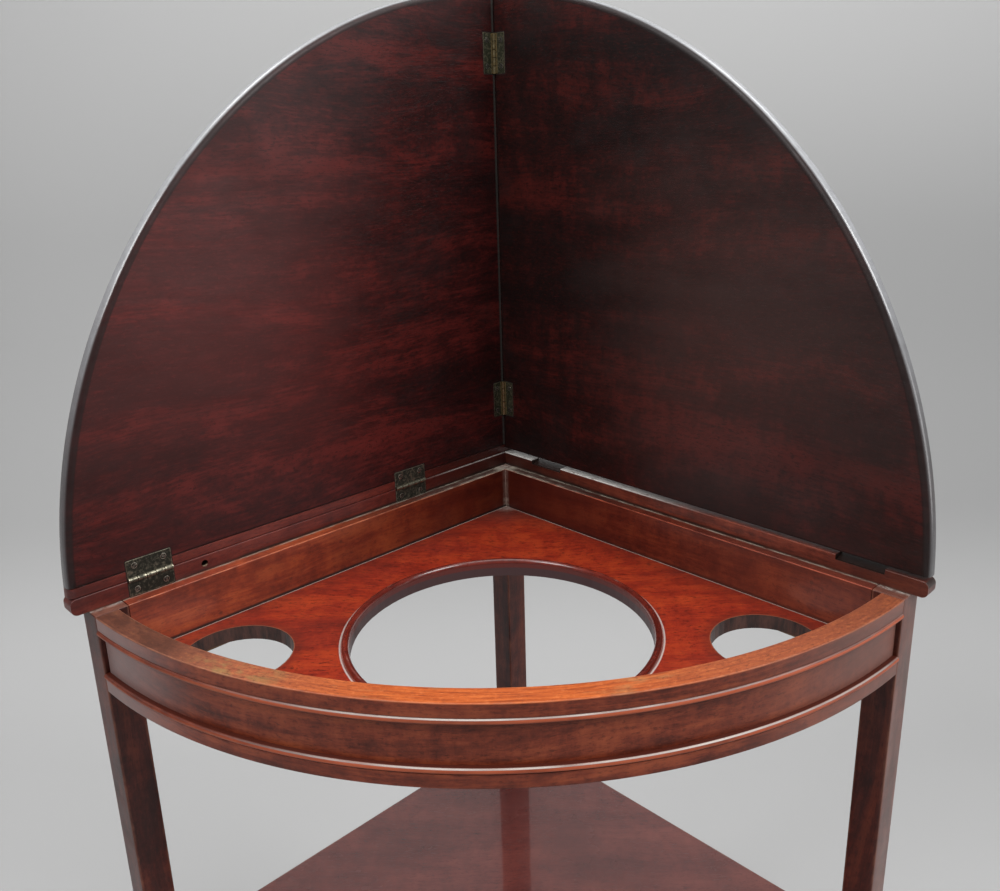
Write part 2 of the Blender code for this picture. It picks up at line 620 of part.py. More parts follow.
def make_shelf_and_frieze(walls, stand):
    outline = quadrant_outline(BOW_RADIUS, BACK, BACK, True)
    add_object("shelf", prism(outline, SHELF_BOTTOM, SHELF_TOP), walls, DARK, ease=EASE)
    top = SHELF_BOTTOM - GAP
    pair_of_bars(("left_lower_rail", "right_lower_rail"), walls, (RAIL_INSIDE + GAP, LEG_NEAR - GAP),
                 (BACK, BACK + LOWER_RAIL_THICKNESS), (FRIEZE_BOTTOM, top), REDDISH)

    inner = BOW_RADIUS - DRAWER_RAIL_WIDTH
    profile = [(inner, FRIEZE_BOTTOM), (BOW_RADIUS, FRIEZE_BOTTOM),
               (BOW_RADIUS, DRAWER_FLOOR), (inner, DRAWER_FLOOR)]

    def rail_end(radius):
        side = max(LEG_INSIDE, BACK + LOWER_RAIL_THICKNESS) + GAP
        return math.pi / 4 - math.asin(side / radius)
    rail = add_object("drawer_rail", bow(profile, lambda r: -rail_end(r), rail_end), stand, REDDISH)
    cut = bmesh.new()
    for turn in (False, True):
        ranges = ((LEG_NEAR - GAP, LEG_END + CUT_OVERRUN), (BACK, LEG_INSIDE + GAP))
        x_range, y_range = reversed(ranges) if turn else ranges
        merge(cut, box(x_range, y_range, (FRIEZE_BOTTOM - CUT_OVERRUN, DRAWER_FLOOR + CUT_OVERRUN)))
    combine(rail, add_object("drawer_rail_notches", cut, walls), "DIFFERENCE")

    low = DRAWER_FLOOR + GAP
    profile = front_profile(low, top)
    steps = ARC_STEPS // 3
    left = bow(profile, lambda r: -at_leg(r), lambda r: -at_drawer(r, 0), steps)
    right = bow(profile, lambda r: at_drawer(r, 0), at_leg, steps)
    add_object("left_sham_front", left, stand, REDDISH, smooth=True)
    add_object("right_sham_front", right, stand, REDDISH, smooth=True)
    middle = (low + top) / 2
    knob_angle = (at_drawer(FRONT_RADIUS, 0) + at_leg(FRONT_RADIUS)) / 2
    add_knob("left_sham_knob", stand, -knob_angle, middle)
    add_knob("right_sham_knob", stand, knob_angle, middle)

    runner_bottom = DRAWER_FLOOR - RUNNER_HEIGHT
    stop_y = inner - GAP
    for word, side in (("left", -1), ("right", 1)):
        near_x = HALF_DRAWER - RUNNER_INSIDE
        far_x = HALF_DRAWER + RUNNER_OUTSIDE
        guide_x = HALF_DRAWER + GAP
        guide_levels = (DRAWER_FLOOR + GAP, DRAWER_FLOOR + GUIDE_HEIGHT)
        for name, first, (low_z, high_z) in (("runner", near_x, (runner_bottom, DRAWER_FLOOR)),
                                             ("guide", guide_x, guide_levels)):
            outline = [(side * x, -math.sqrt(stop_y ** 2 - x ** 2)) for x in (first, far_x)]
            outline += [(side * x, -x - LOWER_BACK_LINE) for x in (far_x, first)]
            add_object(word + "_drawer_" + name, prism(outline, low_z, high_z), stand, PALE_OAK)

    half = STOP_LENGTH / 2
    front = FRONT_INNER - RUNNING_GAP
    outline = [(-half, -math.sqrt(front ** 2 - half ** 2)), (half, -math.sqrt(front ** 2 - half ** 2)),
               (half, STOP_WIDTH - front), (-half, STOP_WIDTH - front)]
    add_object("drawer_stop", prism(outline, DRAWER_FLOOR + GAP, DRAWER_FLOOR + STOP_HEIGHT), stand, PALE_OAK)


def make_drawer(slide):
    """Drawer with a bowed front; it rests on the runners and slides to -Y."""
    low = DRAWER_FLOOR + RUNNING_GAP
    top = SHELF_BOTTOM - RUNNING_GAP
    profile = front_profile(low, top)

    def edge(radius):
        return at_drawer(radius, -RUNNING_GAP)
    front = bow(profile, lambda r: -edge(r), edge, ARC_STEPS // 3)
    add_object("drawer_front", front, slide, REDDISH, smooth=True)
    outer = HALF_DRAWER - RUNNING_GAP
    inner = outer - DRAWER_SIDE
    reach = FRONT_INNER - GAP
    floor = DRAWER_FLOOR + GAP
    for word, side in (("left", -1), ("right", 1)):
        outline = [(side * x, -math.sqrt(reach ** 2 - x ** 2)) for x in (inner, outer)]
        outline += [(side * x, -DRAWER_REAR) for x in (outer, inner)]
        board = prism(outline, floor, floor + DRAWER_SIDE_HEIGHT)
        add_object("drawer_" + word + "_side", board, slide, PALE_OAK)
    half = inner - GAP
    rise = floor + BOTTOM_RAISE
    turn = math.asin(half / reach)
    outline = [(reach * math.sin(a), -reach * math.cos(a)) for a in
               [turn * (2 * index / STRETCHER_STEPS - 1) for index in range(STRETCHER_STEPS + 1)]]
    outline += [(half, -DRAWER_REAR), (-half, -DRAWER_REAR)]
    add_object("drawer_bottom", prism(outline, rise, rise + DRAWER_BOTTOM), slide, PALE_OAK)
    seat = rise + DRAWER_BOTTOM + GAP
    add_object("drawer_back", box((-half, half), (-DRAWER_REAR - DRAWER_BACK, -DRAWER_REAR),
                                  (seat, seat + DRAWER_BACK_HEIGHT)), slide, PALE_OAK)
    add_knob("drawer_knob", slide, 0, (low + top) / 2)


def make_stretcher(walls):
    """Flat three-armed stretcher whose sides are curves between the arms' ends."""
    near, _, inside = leg_place(STRETCHER_TOP)
    near -= GAP
    inside += GAP
    corner = RAIL_INSIDE + GAP
    reach = near
    hold = STRETCHER_HOLD
    wall_side = [(reach * x, reach * y) for x, y in WALL_SIDE_SHARES]
    front_side = [(reach * x, reach * y) for x, y in FRONT_SIDE_SHARES]
    other_side = [(y, x) for x, y in reversed(wall_side)]
    outline = [(corner - hold, corner), (corner, corner)]
    outline += curve(((corner, corner - hold), (near, inside - hold)), wall_side, STRETCHER_STEPS)
    outline += [(near, inside - hold), (near, inside)]
    outline += curve(((near + hold, inside), (inside, near + hold)), front_side, STRETCHER_STEPS)
    outline += [(inside, near + hold), (inside, near)]
    outline += curve(((inside - hold, near), (corner - hold, corner)), other_side, STRETCHER_STEPS)
    board = prism(outline, STRETCHER_TOP - STRETCHER_THICKNESS, STRETCHER_TOP)
    add_object("stretcher", board, walls, REDDISH)


def main():
    clear_scene()
    corner = (0, CORNER_Y, 0)
    walls = add_empty("wall_frame", place=corner, turn=math.radians(225))
    stand = add_empty("stand_frame", place=corner)
    swing = add_empty("right_leaf_swing", parent=walls)
    slide = add_empty("drawer_slide", parent=stand)
    make_legs(walls)
    make_upper_frame(walls, stand)
    make_basin_board(walls, stand)
    make_top(walls, swing)
    make_shelf_and_frieze(walls, stand)
    make_drawer(slide)
    make_stretcher(walls)


main()
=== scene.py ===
# %% [markdown]
# # A corner washstand in old mahogany
# The stand fits into the corner of a room. Its top is folded up and leans on the two walls,
# so that the board with the hole for the washbowl lies open. We dress a measured model of it:
# the model gives every place and size, and this script gives each piece its final surface,
# its softened edges and its finish. Each step below says what the real piece is, how it
# could be made in Blender, and why it is made the way it is.

# %% Load the measured model
import json
import math

import bmesh
import bpy
import numpy as np
from mathutils import Matrix, Vector


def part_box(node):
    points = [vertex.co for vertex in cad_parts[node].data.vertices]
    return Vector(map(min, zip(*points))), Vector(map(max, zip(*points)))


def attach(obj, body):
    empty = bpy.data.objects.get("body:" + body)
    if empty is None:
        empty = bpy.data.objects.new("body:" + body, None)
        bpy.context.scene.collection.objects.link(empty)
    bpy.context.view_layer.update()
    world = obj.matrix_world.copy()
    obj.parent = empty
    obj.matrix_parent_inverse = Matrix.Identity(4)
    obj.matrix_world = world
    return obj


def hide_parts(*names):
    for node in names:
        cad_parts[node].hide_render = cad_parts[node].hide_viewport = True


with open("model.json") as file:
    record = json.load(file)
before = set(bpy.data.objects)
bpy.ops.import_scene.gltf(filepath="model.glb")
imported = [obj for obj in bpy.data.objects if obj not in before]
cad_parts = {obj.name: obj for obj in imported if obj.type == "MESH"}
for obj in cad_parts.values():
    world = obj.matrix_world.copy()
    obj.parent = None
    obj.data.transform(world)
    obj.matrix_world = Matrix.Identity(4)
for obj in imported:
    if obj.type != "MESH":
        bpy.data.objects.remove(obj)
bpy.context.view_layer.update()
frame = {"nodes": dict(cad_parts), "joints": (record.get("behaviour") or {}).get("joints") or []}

NODES = frame["nodes"]

# %% [markdown]
# Two vertical planes, the front faces of the raised leaves, meet in one line: the right leaf
# swings about it. All of the carcase is square to those planes, so it is far easier to write
# places as "so far along the left wall, so far along the right wall, so high" than in the
# world's x and y, which run at 45 degrees to them. One function turns the first into the second.

# %% The wall frame
SWING = next(joint for joint in frame["joints"] if joint["name"] == "right_leaf_swing")
CORNER = np.array(SWING["pos_m"], float)
HINGE_LEVEL = float(CORNER[2])
LEAF = 0.014                # thickness of the leaves and of the strips below them
RAIL_TOP = HINGE_LEVEL - LEAF
LEFTWARD = np.array([-1, -1, 0]) / math.sqrt(2)
RIGHTWARD = np.array([1, -1, 0]) / math.sqrt(2)
FLOOR_CORNER = np.array([CORNER[0], CORNER[1], 0.0])


def at_walls(left, right, height):
    """World places: the corner plus left times one wall's direction, right times the other's."""
    left, right, height = (part[..., None] for part in np.broadcast_arrays(left, right, height))
    return FLOOR_CORNER + left * LEFTWARD + right * RIGHTWARD + height * [0, 0, 1]


def on_left_wall(rows):
    """World places of points that are given as (along the wall, height, out from it)."""
    return at_walls(rows[..., 0], rows[..., 2], rows[..., 1])


def on_right_wall(rows):
    """The same along the right wall."""
    return at_walls(rows[..., 2], rows[..., 0], rows[..., 1])


def levels_of(node):
    """The lowest and the highest level of a node of the model."""
    return (float(corner[2]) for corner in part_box(node))


print("corner at", CORNER.round(4), "rails end at", round(RAIL_TOP, 4))

# %% [markdown]
# The photograph is taken from the middle of the room, a little above the open top, looking
# down on the board. The lens length, the tilt and the small roll come from matching the edges
# of the top and the rails. Blender could track an empty, but a matrix built from the three
# view directions holds the roll as well and depends on nothing else in the scene.

# %% The camera
CAMERA_PLACE = np.array([0.0199, CORNER[1] - 0.9272, HINGE_LEVEL + 0.3204])
LENS = 33.43
TILT = math.radians(17.16)
TURN = 0.0022
ROLL = 0.0204
SHIFT = (-0.0252, -0.0252)

forward = np.array([math.sin(TURN) * math.cos(TILT), math.cos(TURN) * math.cos(TILT), -math.sin(TILT)])
level_right = np.array([math.cos(TURN), -math.sin(TURN), 0])
level_down = np.cross(forward, level_right)
view_right = math.cos(ROLL) * level_right + math.sin(ROLL) * level_down
view_down = -math.sin(ROLL) * level_right + math.cos(ROLL) * level_down
camera_data = bpy.data.cameras.new("camera")
camera_data.lens = LENS
camera_data.sensor_width = 36
camera_data.shift_x, camera_data.shift_y = SHIFT
camera = bpy.data.objects.new("camera", camera_data)
bpy.context.scene.collection.objects.link(camera)
turn = Matrix(np.stack([view_right, -view_down, -forward], 1).tolist()).to_4x4()
camera.matrix_world = Matrix.Translation(CAMERA_PLACE.tolist()) @ turn
bpy.context.scene.camera = camera
print("camera", (np.linalg.norm(CAMERA_PLACE - CORNER)).round(3), "m from the hinge corner")

# %% [markdown]
# Every new piece is a surface of rows and columns: a row is one outline, and the next row is
# the same outline a little further on. Two numbers, row and column, name each point, so the
# faces follow from the counts alone. Some surfaces close on themselves and others end in a
# flat face at the first and last row. Each point also carries two values that the finishes
# read: its place in the wood (along, across and into the grain) and how near an edge it is.

# %% From rows of points to a piece
def quads(rows, columns, ring=False):
    """Faces between neighbours of a grid whose columns close; with ring its rows close as well."""
    row = np.arange(rows if ring else rows - 1)[:, None]
    column = np.arange(columns)[None, :]
    after = (column + 1) % columns
    above = (row + 1) % rows
    row, above = row * columns, above * columns
    corners = np.broadcast_arrays(row + column, row + after, above + after, above + column)
    return np.stack(corners, -1).reshape(-1, 4)


def store(mesh, name, kind, values):
    """Write an array as a named value of each point, so that a material can read it."""
    attribute = mesh.attributes.new(name, kind, "POINT")
    key = "vector" if kind == "FLOAT_VECTOR" else "value"
    attribute.data.foreach_set(key, np.asarray(values, np.float32).ravel())


def add_piece(name, points, wood, edge, material, body="stand", slot="red_mahogany", nodes=(),
              ring=False, angle=40):
    """Close a grid of points (row, column, xyz) into a solid with outward faces, and dress it."""
    rows, columns = points.shape[:2]
    faces = quads(rows, columns, ring).tolist()
    if not ring:
        faces.append(list(range(columns)))
        faces.append(list(range((rows - 1) * columns, rows * columns)))
    mesh = bpy.data.meshes.new(name)
    mesh.from_pydata(points.reshape(-1, 3).tolist(), [], faces)
    store(mesh, "wood", "FLOAT_VECTOR", wood)
    store(mesh, "edge", "FLOAT", np.broadcast_to(edge, (rows, columns)))
    shell = bmesh.new()
    shell.from_mesh(mesh)
    bmesh.ops.recalc_face_normals(shell, faces=shell.faces)
    if shell.calc_volume(signed=True) < 0:
        bmesh.ops.reverse_faces(shell, faces=shell.faces)
    shell.to_mesh(mesh)
    shell.free()
    mesh.shade_smooth()
    mesh.set_sharp_from_angle(angle=math.radians(angle))
    for cap in list(mesh.polygons)[rows * columns - columns:] if not ring else []:
        cap.use_smooth = False
    mesh.materials.append(material)
    piece = bpy.data.objects.new(name, mesh)
    bpy.context.scene.collection.objects.link(piece)
    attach(piece, body)
    if nodes:
        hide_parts(*nodes)
    return piece


print("a grid of 3 rows of 4 points has", len(quads(3, 4)), "faces")

# %% [markdown]
# No edge of old furniture is sharp. A corner of an outline is therefore replaced by a small
# arc that touches both of its sides, and a point is added a little way down each side, where
# the wear of the edge has faded out. The Bevel modifier would round the corners as well, but
# then the script wouldn't know which points are edge and which are face.

# %% Softened outlines
def soften(corners, radius, steps=4, fade=0.003):
    """Round a closed outline: at each corner an arc of the radius, tangent to both sides.

    Returns the points and their edge weight, which is 1 on the arcs and 0 a fade away.
    """
    corners = np.asarray(corners, float)
    radii = np.broadcast_to(radius, len(corners))
    points, weights = [], []
    sides = zip(corners, np.roll(corners, 1, 0), np.roll(corners, -1, 0), radii)
    for here, before, after, size in sides:
        back, ahead = before - here, after - here
        back_length, ahead_length = np.linalg.norm(back), np.linalg.norm(ahead)
        back, ahead = back / back_length, ahead / ahead_length
        half = math.acos(np.clip(back @ ahead, -1, 1)) / 2
        reach = min(size / math.tan(half), 0.45 * back_length, 0.45 * ahead_length)
        size = reach * math.tan(half)
        bisector = (back + ahead) / np.linalg.norm(back + ahead)
        centre = here + bisector * size / math.sin(half)
        first, last = here + back * reach - centre, here + ahead * reach - centre
        t = np.linspace(0, 1, steps + 1)[:, None]
        sweep = math.pi - 2 * half
        arc = centre + (np.sin((1 - t) * sweep) * first + np.sin(t * sweep) * last) / math.sin(sweep)
        lead = here + back * min(reach + fade, 0.48 * back_length)
        tail = here + ahead * min(reach + fade, 0.48 * ahead_length)
        points += [lead[None], arc, tail[None]]
        weights += [0] + [1] * (steps + 1) + [0]
    return np.concatenate(points), np.array(weights, float)


SQUARE = [(0, 0), (1, 0), (1, 1), (0, 1)]
CORNER_POINTS = len(soften(SQUARE, 0.1)[0]) // len(SQUARE)
print("a softened corner has", CORNER_POINTS, "points")

# %% [markdown]
# A board is an outline with a thickness. Its rim is drawn in rows: each row is the outline,
# moved inwards by r times (1 - cos) and up by r times (1 + sin) of an angle that runs from
# straight down to straight up. With a small r that gives an eased edge and with r as half the
# thickness a half-round one. r may differ from side to side, as on the leaves, whose curved
# side is half-round while the straight ones are left nearly square.

# %% Boards with rounded rims
def inset_outline(outline, amount):
    """Move each side of an anticlockwise outline inwards by its own amount.

    A point moves to where its two moved sides cross; on a curve it moves along their mean.
    """
    along = np.roll(outline, -1, 0) - outline
    along /= np.linalg.norm(along, axis=1)[:, None]
    ahead = np.stack([-along[:, 1], along[:, 0]], -1)
    behind, amount_behind = np.roll(ahead, 1, 0), np.roll(amount, 1)
    cross = behind[:, 0] * ahead[:, 1] - behind[:, 1] * ahead[:, 0]
    mean = (ahead + behind) / (1 + (ahead * behind).sum(1))[:, None]
    mean *= ((amount + amount_behind) / 2)[:, None]
    bent = np.abs(cross) > 0.2
    safe = np.where(bent, cross, 1)
    crossing = np.stack([amount_behind * ahead[:, 1] - amount * behind[:, 1],
                         amount * behind[:, 0] - amount_behind * ahead[:, 0]], -1) / safe[:, None]
    return outline + np.where(bent[:, None], crossing, mean)


def board_rows(outline, radius, low, high, steps=4, fade=0.003):
    """Rows (row, column, xyz) of a board from its lower face round the rim to its upper face."""
    outline = np.asarray(outline, float)
    radius = np.minimum(np.broadcast_to(radius, len(outline)), (high - low) / 2).astype(float)
    tall = np.maximum(radius, np.roll(radius, 1))
    rows, weights = [], []

    def add(amount, height, weight):
        flat = inset_outline(outline, amount)
        rows.append(np.c_[flat, np.broadcast_to(height, len(flat))])
        weights.append(weight)
    add(radius + fade, low, 0)
    for angle in np.linspace(-math.pi / 2, 0, steps + 1):
        add(radius * (1 - math.cos(angle)), low + tall * (1 + math.sin(angle)), 1)
    for angle in np.linspace(0, math.pi / 2, steps + 1):
        add(radius * (1 - math.cos(angle)), high - tall * (1 - math.sin(angle)), 1)
    add(radius + fade, high, 0)
    return np.array(rows), np.array(weights, float)[:, None]


def add_board(name, outline, radius, low, high, place, material, steps=4, fade=0.003, worn=1, **kind):
    """Make a board whose rows are put into the world by a function; worn scales its edge weight."""
    rows, edge = board_rows(outline, radius, low, high, steps, fade)
    return add_piece(name, place(rows), rows, edge * worn, material, **kind)


print("a board has", len(board_rows(SQUARE, 0.1, 0, 1)[0]), "rows of points from face to face")

# %% [markdown]
# Straight stretches of an outline get a point close to each end, so that what happens at a
# corner stays at the corner, and arcs get as many points as they need to look round.

# %% Outlines from runs
def run(start, end, near=0.008):
    """Points of a straight side, without its end: the start and one near each corner."""
    start, end = np.asarray(start, float), np.asarray(end, float)
    share = min(near / np.linalg.norm(end - start), 0.3)
    return start + (end - start) * np.array([0, share, 1 - share])[:, None]


def arc_run(centre, radius, first, last, steps):
    """Points of an arc, without its end: centre plus radius times (cos, sin) of a rising angle."""
    angle = np.linspace(first, last, steps + 1)[:-1]
    return np.asarray(centre, float) + radius * np.stack([np.cos(angle), np.sin(angle)], -1)


def join(*runs):
    """Put runs and their edge radii together into one outline."""
    points = np.concatenate([points for points, size in runs])
    radii = np.concatenate([np.full(len(points), size) for points, size in runs])
    return points, radii


print("a straight side has", len(run((0, 0), (1, 0))), "points")

# %% [markdown]
# ## Finishes
# A finish is a small graph of shader nodes. Writing it with a few short words keeps the recipe
# readable: noise for irregular patterns, a ramp to turn a grey value into colours, a blend to
# lay one thing over another. The words below only add nodes and link them.

# %% Short words for shader nodes
class Recipe:
    """A material, with one short method for each kind of node."""

    def __init__(self, name):
        self.material = bpy.data.materials.new(name)
        self.material.use_nodes = True
        self.tree = self.material.node_tree
        self.shader = self.tree.nodes["Principled BSDF"]

    def feed(self, socket, value):
        if isinstance(value, bpy.types.NodeSocket):
            self.tree.links.new(value, socket)
        else:
            socket.default_value = value

    def add(self, kind, inputs=(), **settings):
        node = self.tree.nodes.new(kind)
        for key, value in settings.items():
            setattr(node, key, value)
        for key, value in dict(inputs).items():
            self.feed(node.inputs[key], value)
        return node

    def value(self, name):
        return self.add("ShaderNodeAttribute", attribute_name=name).outputs["Fac"]

    def vector(self, name):
        return self.add("ShaderNodeAttribute", attribute_name=name).outputs["Vector"]

    def place(self):
        return self.add("ShaderNodeTexCoord").outputs["Object"]

    def stretch(self, vector, scale, shift=(0, 0, 0), turn=(0, 0, 0)):
        inputs = {"Vector": vector, "Scale": scale, "Location": shift, "Rotation": turn}
        return self.add("ShaderNodeMapping", inputs).outputs["Vector"]

    def noise(self, vector, scale=1.0, detail=3.0, rough=0.5, bend=0.0):
        inputs = {"Vector": vector, "Scale": scale, "Detail": detail, "Roughness": rough, "Distortion": bend}
        return self.add("ShaderNodeTexNoise", inputs).outputs["Fac"]

    def wood(self):
        """The three parts of the stored place in the wood; the first runs along the grain."""
        return self.separate(self.vector("wood"))

    def grain(self, scale, detail=4, rough=0.65):
        """Noise over the stored place in the wood, stretched by a scale for each direction."""
        return self.noise(self.stretch(self.vector("wood"), scale), detail=detail, rough=rough)

    def math(self, operation, first, second=0.0):
        return self.add("ShaderNodeMath", {0: first, 1: second}, operation=operation).outputs[0]

    def times(self, first, *others):
        for other in others:
            first = self.math("MULTIPLY", first, other)
        return first

    def plus(self, first, *others):
        for other in others:
            first = self.math("ADD", first, other)
        return first

    def minus(self, first, second):
        return self.math("SUBTRACT", first, second)

    def most(self, first, *others):
        for other in others:
            first = self.math("MAXIMUM", first, other)
        return first

    def apart(self, value, middle):
        return self.math("ABSOLUTE", self.minus(value, middle))

    def length(self, first, second):
        return self.math("SQRT", self.plus(self.times(first, first), self.times(second, second)))

    def step(self, value, low, high, start=0.0, end=1.0):
        """A smooth step from start to end while the value goes from low to high."""
        inputs = {"Value": value, "From Min": low, "From Max": high, "To Min": start, "To Max": end}
        return self.add("ShaderNodeMapRange", inputs, interpolation_type="SMOOTHSTEP").outputs["Result"]

    def between(self, value, low, full, fading, high):
        """One while the value lies between full and fading, and nothing below low and above high."""
        return self.times(self.step(value, low, full), self.step(value, high, fading))

    def blend(self, share, first, second, kind="MIX"):
        node = self.add("ShaderNodeMix", data_type="RGBA", blend_type=kind)
        self.feed(node.inputs[0], share)
        for key, value in ((6, first), (7, second)):
            self.feed(node.inputs[key], (*value, 1) if isinstance(value, tuple) else value)
        return node.outputs[2]

    def lay(self, colour, *marks):
        """Lay marks over a colour, one after the other: each is how much of it, and its colour."""
        for share, tint in marks:
            colour = self.blend(share, colour, tint)
        return colour

    def ramp(self, value, *stops):
        node = self.add("ShaderNodeValToRGB", {"Fac": value})
        elements = node.color_ramp.elements
        while len(elements) < len(stops):
            elements.new(0.5)
        for element, (position, colour) in zip(elements, stops):
            element.position = position
            element.color = (*colour, 1)
        return node.outputs["Color"]

    def separate(self, vector):
        return self.add("ShaderNodeSeparateXYZ", {0: vector}).outputs

    def bump(self, height, distance, strength=1.0, below=None):
        inputs = {"Height": height, "Distance": distance, "Strength": strength}
        if below is not None:
            inputs["Normal"] = below
        return self.add("ShaderNodeBump", inputs).outputs["Normal"]

    def finish(self, colour, rough, metallic=0.0, normal=None, coat=0.0, coat_rough=0.1, specular=0.5):
        values = {"Base Color": colour, "Roughness": rough, "Metallic": metallic, "Coat Weight": coat,
                  "Coat Roughness": coat_rough, "Specular IOR Level": specular}
        if normal is not None:
            values["Normal"] = normal
        for key, value in values.items():
            self.feed(self.shader.inputs[key], value)
        return self.material


print("a recipe knows", sum(map(callable, vars(Recipe).values())), "words")

# %% [markdown]
# Mahogany has three scales of pattern. Broad ribbons, a hand long and a finger wide, turn from
# nearly black to red as the grain leans this way and that. Inside them run narrow streaks. On
# top lie the pores: short dark dashes, a fraction of a millimetre wide. Noise that is stretched
# along the grain gives all three. The polish adds cloudy patches and a soft waviness, and the
# edges are rubbed to a lighter, duller colour, broken up by noise so that they look used.

# %% Polished mahogany
def mahogany(name, dark, warm, bright, worn, gloss=0.3, figure=(0.32, 0.68), wear=0.5, cloud=0.35,
             coat=0.15, place=None, dust=None, shift=(0, 0, 0), spots=0.0, ripple=0.0012, extra=None,
             broad=1.0, coat_gloss=0.16, fine=0.26, shine=0.36, fleck=0.5, rim_coat=0.0,
             cross=(70, 42, 42)):
    """Old polished mahogany: three colours of figure, a colour for worn edges, and the polish."""
    def pattern(scale, detail, rough=0.5):
        return g.noise(g.stretch(wood, scale), detail=detail, rough=rough)

    def darker(share):
        return tuple(part * share for part in dark)
    g = Recipe(name)
    wood = g.stretch(place(g) if place else g.vector("wood"), (1, 1, 1), shift)
    lean = g.times(pattern((3.5, 14, 14), 1), 0.045)
    bend = g.add("ShaderNodeCombineXYZ", {1: lean, 2: 0.0}).outputs[0]
    wood = g.add("ShaderNodeVectorMath", {0: wood, 1: bend}, operation="ADD").outputs[0]
    ribbons = pattern((9 / broad, 60 / broad, 60 / broad), 5, 0.58)
    streaks = pattern((34, 360, 360), 4, 0.65)
    mottle = pattern(cross, 4, 0.65)
    tone = g.plus(g.times(ribbons, 0.88 - fine), g.times(streaks, fine),
                  g.times(g.minus(mottle, 0.5), 0.34), 0.06)
    colour = g.ramp(g.step(tone, *figure), (0.0, dark), (0.5, warm), (1.0, bright))
    pores = g.step(pattern((130, 2300, 2300), 1.5), 0.6, 0.72)
    flecks = pattern((190, 520, 520), 4, 0.75)
    patches = g.step(g.noise(wood, 11.0, detail=4, rough=0.6), 0.42, 0.72)
    colour = g.lay(colour, (g.times(pores, 0.45), darker(0.35)),
                   (g.step(flecks, 0.52, 0.66, 0, fleck), darker(0.6)),
                   (g.step(flecks, 0.46, 0.34, 0, fleck * 0.5), bright),
                   (g.times(patches, cloud), darker(0.7)))
    if spots:
        specks = g.add("ShaderNodeTexVoronoi", {"Vector": wood, "Scale": 46.0}).outputs["Distance"]
        colour = g.blend(g.times(g.step(specks, 0.1, 0.05), spots), colour, (0.012, 0.006, 0.005))
    if extra:
        colour = extra(g, colour)
    edge = g.value("edge")
    rubbed = g.plus(edge, g.times(pattern((55, 160, 160), 4, 0.65), 1.2))
    rubbed = g.step(rubbed, 1.3, 1.9, 0.0, wear)
    colour = g.blend(rubbed, colour, worn)
    if dust:
        colour = g.blend(dust(g), colour, (0.38, 0.34, 0.28))
    grit = g.noise(wood, 160.0, detail=4, rough=0.6)
    rough = g.plus(g.step(patches, 0, 1, gloss, gloss + 0.1), g.times(rubbed, 0.25),
                   g.times(g.plus(pores, grit), 0.05))
    normal = g.bump(g.minus(g.times(streaks, 0.3), pores), 0.00006, 0.6)
    normal = g.bump(pattern((14, 38, 38), 2), ripple, 0.5, normal)
    if rim_coat:
        outer = g.step(g.wood()[2], -0.001, -0.0026)
        coat = g.step(g.times(edge, outer), 0.15, 0.75, coat, rim_coat)
    return g.finish(colour, rough, normal=normal, coat=coat, coat_rough=coat_gloss, specular=shine)


# %% [markdown]
# The marks that years of use left on the top, and painted shade, are laid over the wood, each as a
# soft mask and a colour. A mask is mostly a product of steps: so far along, so high, and broken up
# by noise. The strips get painted shade towards the corner, painted shade with some grime along
# the foot, and pale dust where a cloth never gets into the corner. The notches and the screw hole
# are dark inside with painted shade.

# %% Marks on the strips
NOTCH_DEEP, NOTCH_HEIGHT = 0.0025, 0.0048
DULL_END = (0.35, 0.4)
HOLE_PLACE, HOLE_RADIUS, HOLE_DEPTH = 0.34, 0.0028, 0.007


def corner_shade_and_dust(g, colour, reach, amount):
    """A strip with painted shade towards the corner, painted shade and grime at its foot, and dust on its
    upper edge.
    """
    along, height, _ = g.wood()
    # Painted shade, with some grime, along the strip's foot.
    foot = g.times(g.step(height, RAIL_TOP + 0.0038, RAIL_TOP + 0.0012), g.step(along, 0.385, 0.33),
                   g.step(g.grain((26, 90, 90)), 0.34, 0.52, 0.55, 0.95))
    upper = g.times(g.between(height, HINGE_LEVEL - 0.0015, HINGE_LEVEL - 0.0007, HINGE_LEVEL,
                              HINGE_LEVEL + 0.0002),
                    g.step(g.grain((120, 300, 300), rough=0.7), 0.34, 0.5, 0.45, 1),
                    g.step(along, reach, reach * 0.45, 0, amount))
    # Painted shade towards the corner, then the shade at the foot and the dust on the upper edge.
    return g.lay(colour, (g.step(along, 0.2, 0.04, 0, 0.75), (0.018, 0.0042, 0.003)),
                 (foot, (0.012, 0.007, 0.006)), (upper, (0.64, 0.62, 0.59)))


def notch_shadow(g, colour):
    """The right strip: a dull free end, the corner's marks, and painted shade in the notches."""
    along, height, out = g.wood()
    colour = g.blend(g.step(along, *DULL_END, 0, 0.6), colour, (0.024, 0.0075, 0.006))
    # Painted shade inside each notch.
    inside = g.times(g.step(out, -0.0001, -0.0006),
                     g.between(height, RAIL_TOP + 0.0086, RAIL_TOP + 0.0089, HINGE_LEVEL - 0.0014,
                               HINGE_LEVEL - 0.0005))
    return g.blend(inside, corner_shade_and_dust(g, colour, 0.27, 1), (0.026, 0.013, 0.0105))


def hole_shadow(g, colour):
    """The left strip: the corner's marks, and painted shade in the screw hole with bare wood at its mouth."""
    along, height, out = g.wood()
    near = g.step(g.apart(along, HOLE_PLACE), HOLE_RADIUS * 1.3, HOLE_RADIUS * 1.1)
    middle = RAIL_TOP + LEAF / 2
    chip = g.times(near, g.between(out, -0.0032, -0.0012, -0.0003, 0.0),
                   g.step(height, middle - 0.0008, middle - 0.0022))
    # Painted shade in the screw hole, and the bare wood chipped at its mouth.
    return g.lay(corner_shade_and_dust(g, colour, 0.12, 0.4),
                 (g.times(near, g.step(out, -0.0002, -0.0024)), (0.01, 0.006, 0.004)),
                 (chip, (0.42, 0.3, 0.2)))


print("notches", NOTCH_DEEP, "deep, screw hole", HOLE_DEPTH, "deep")
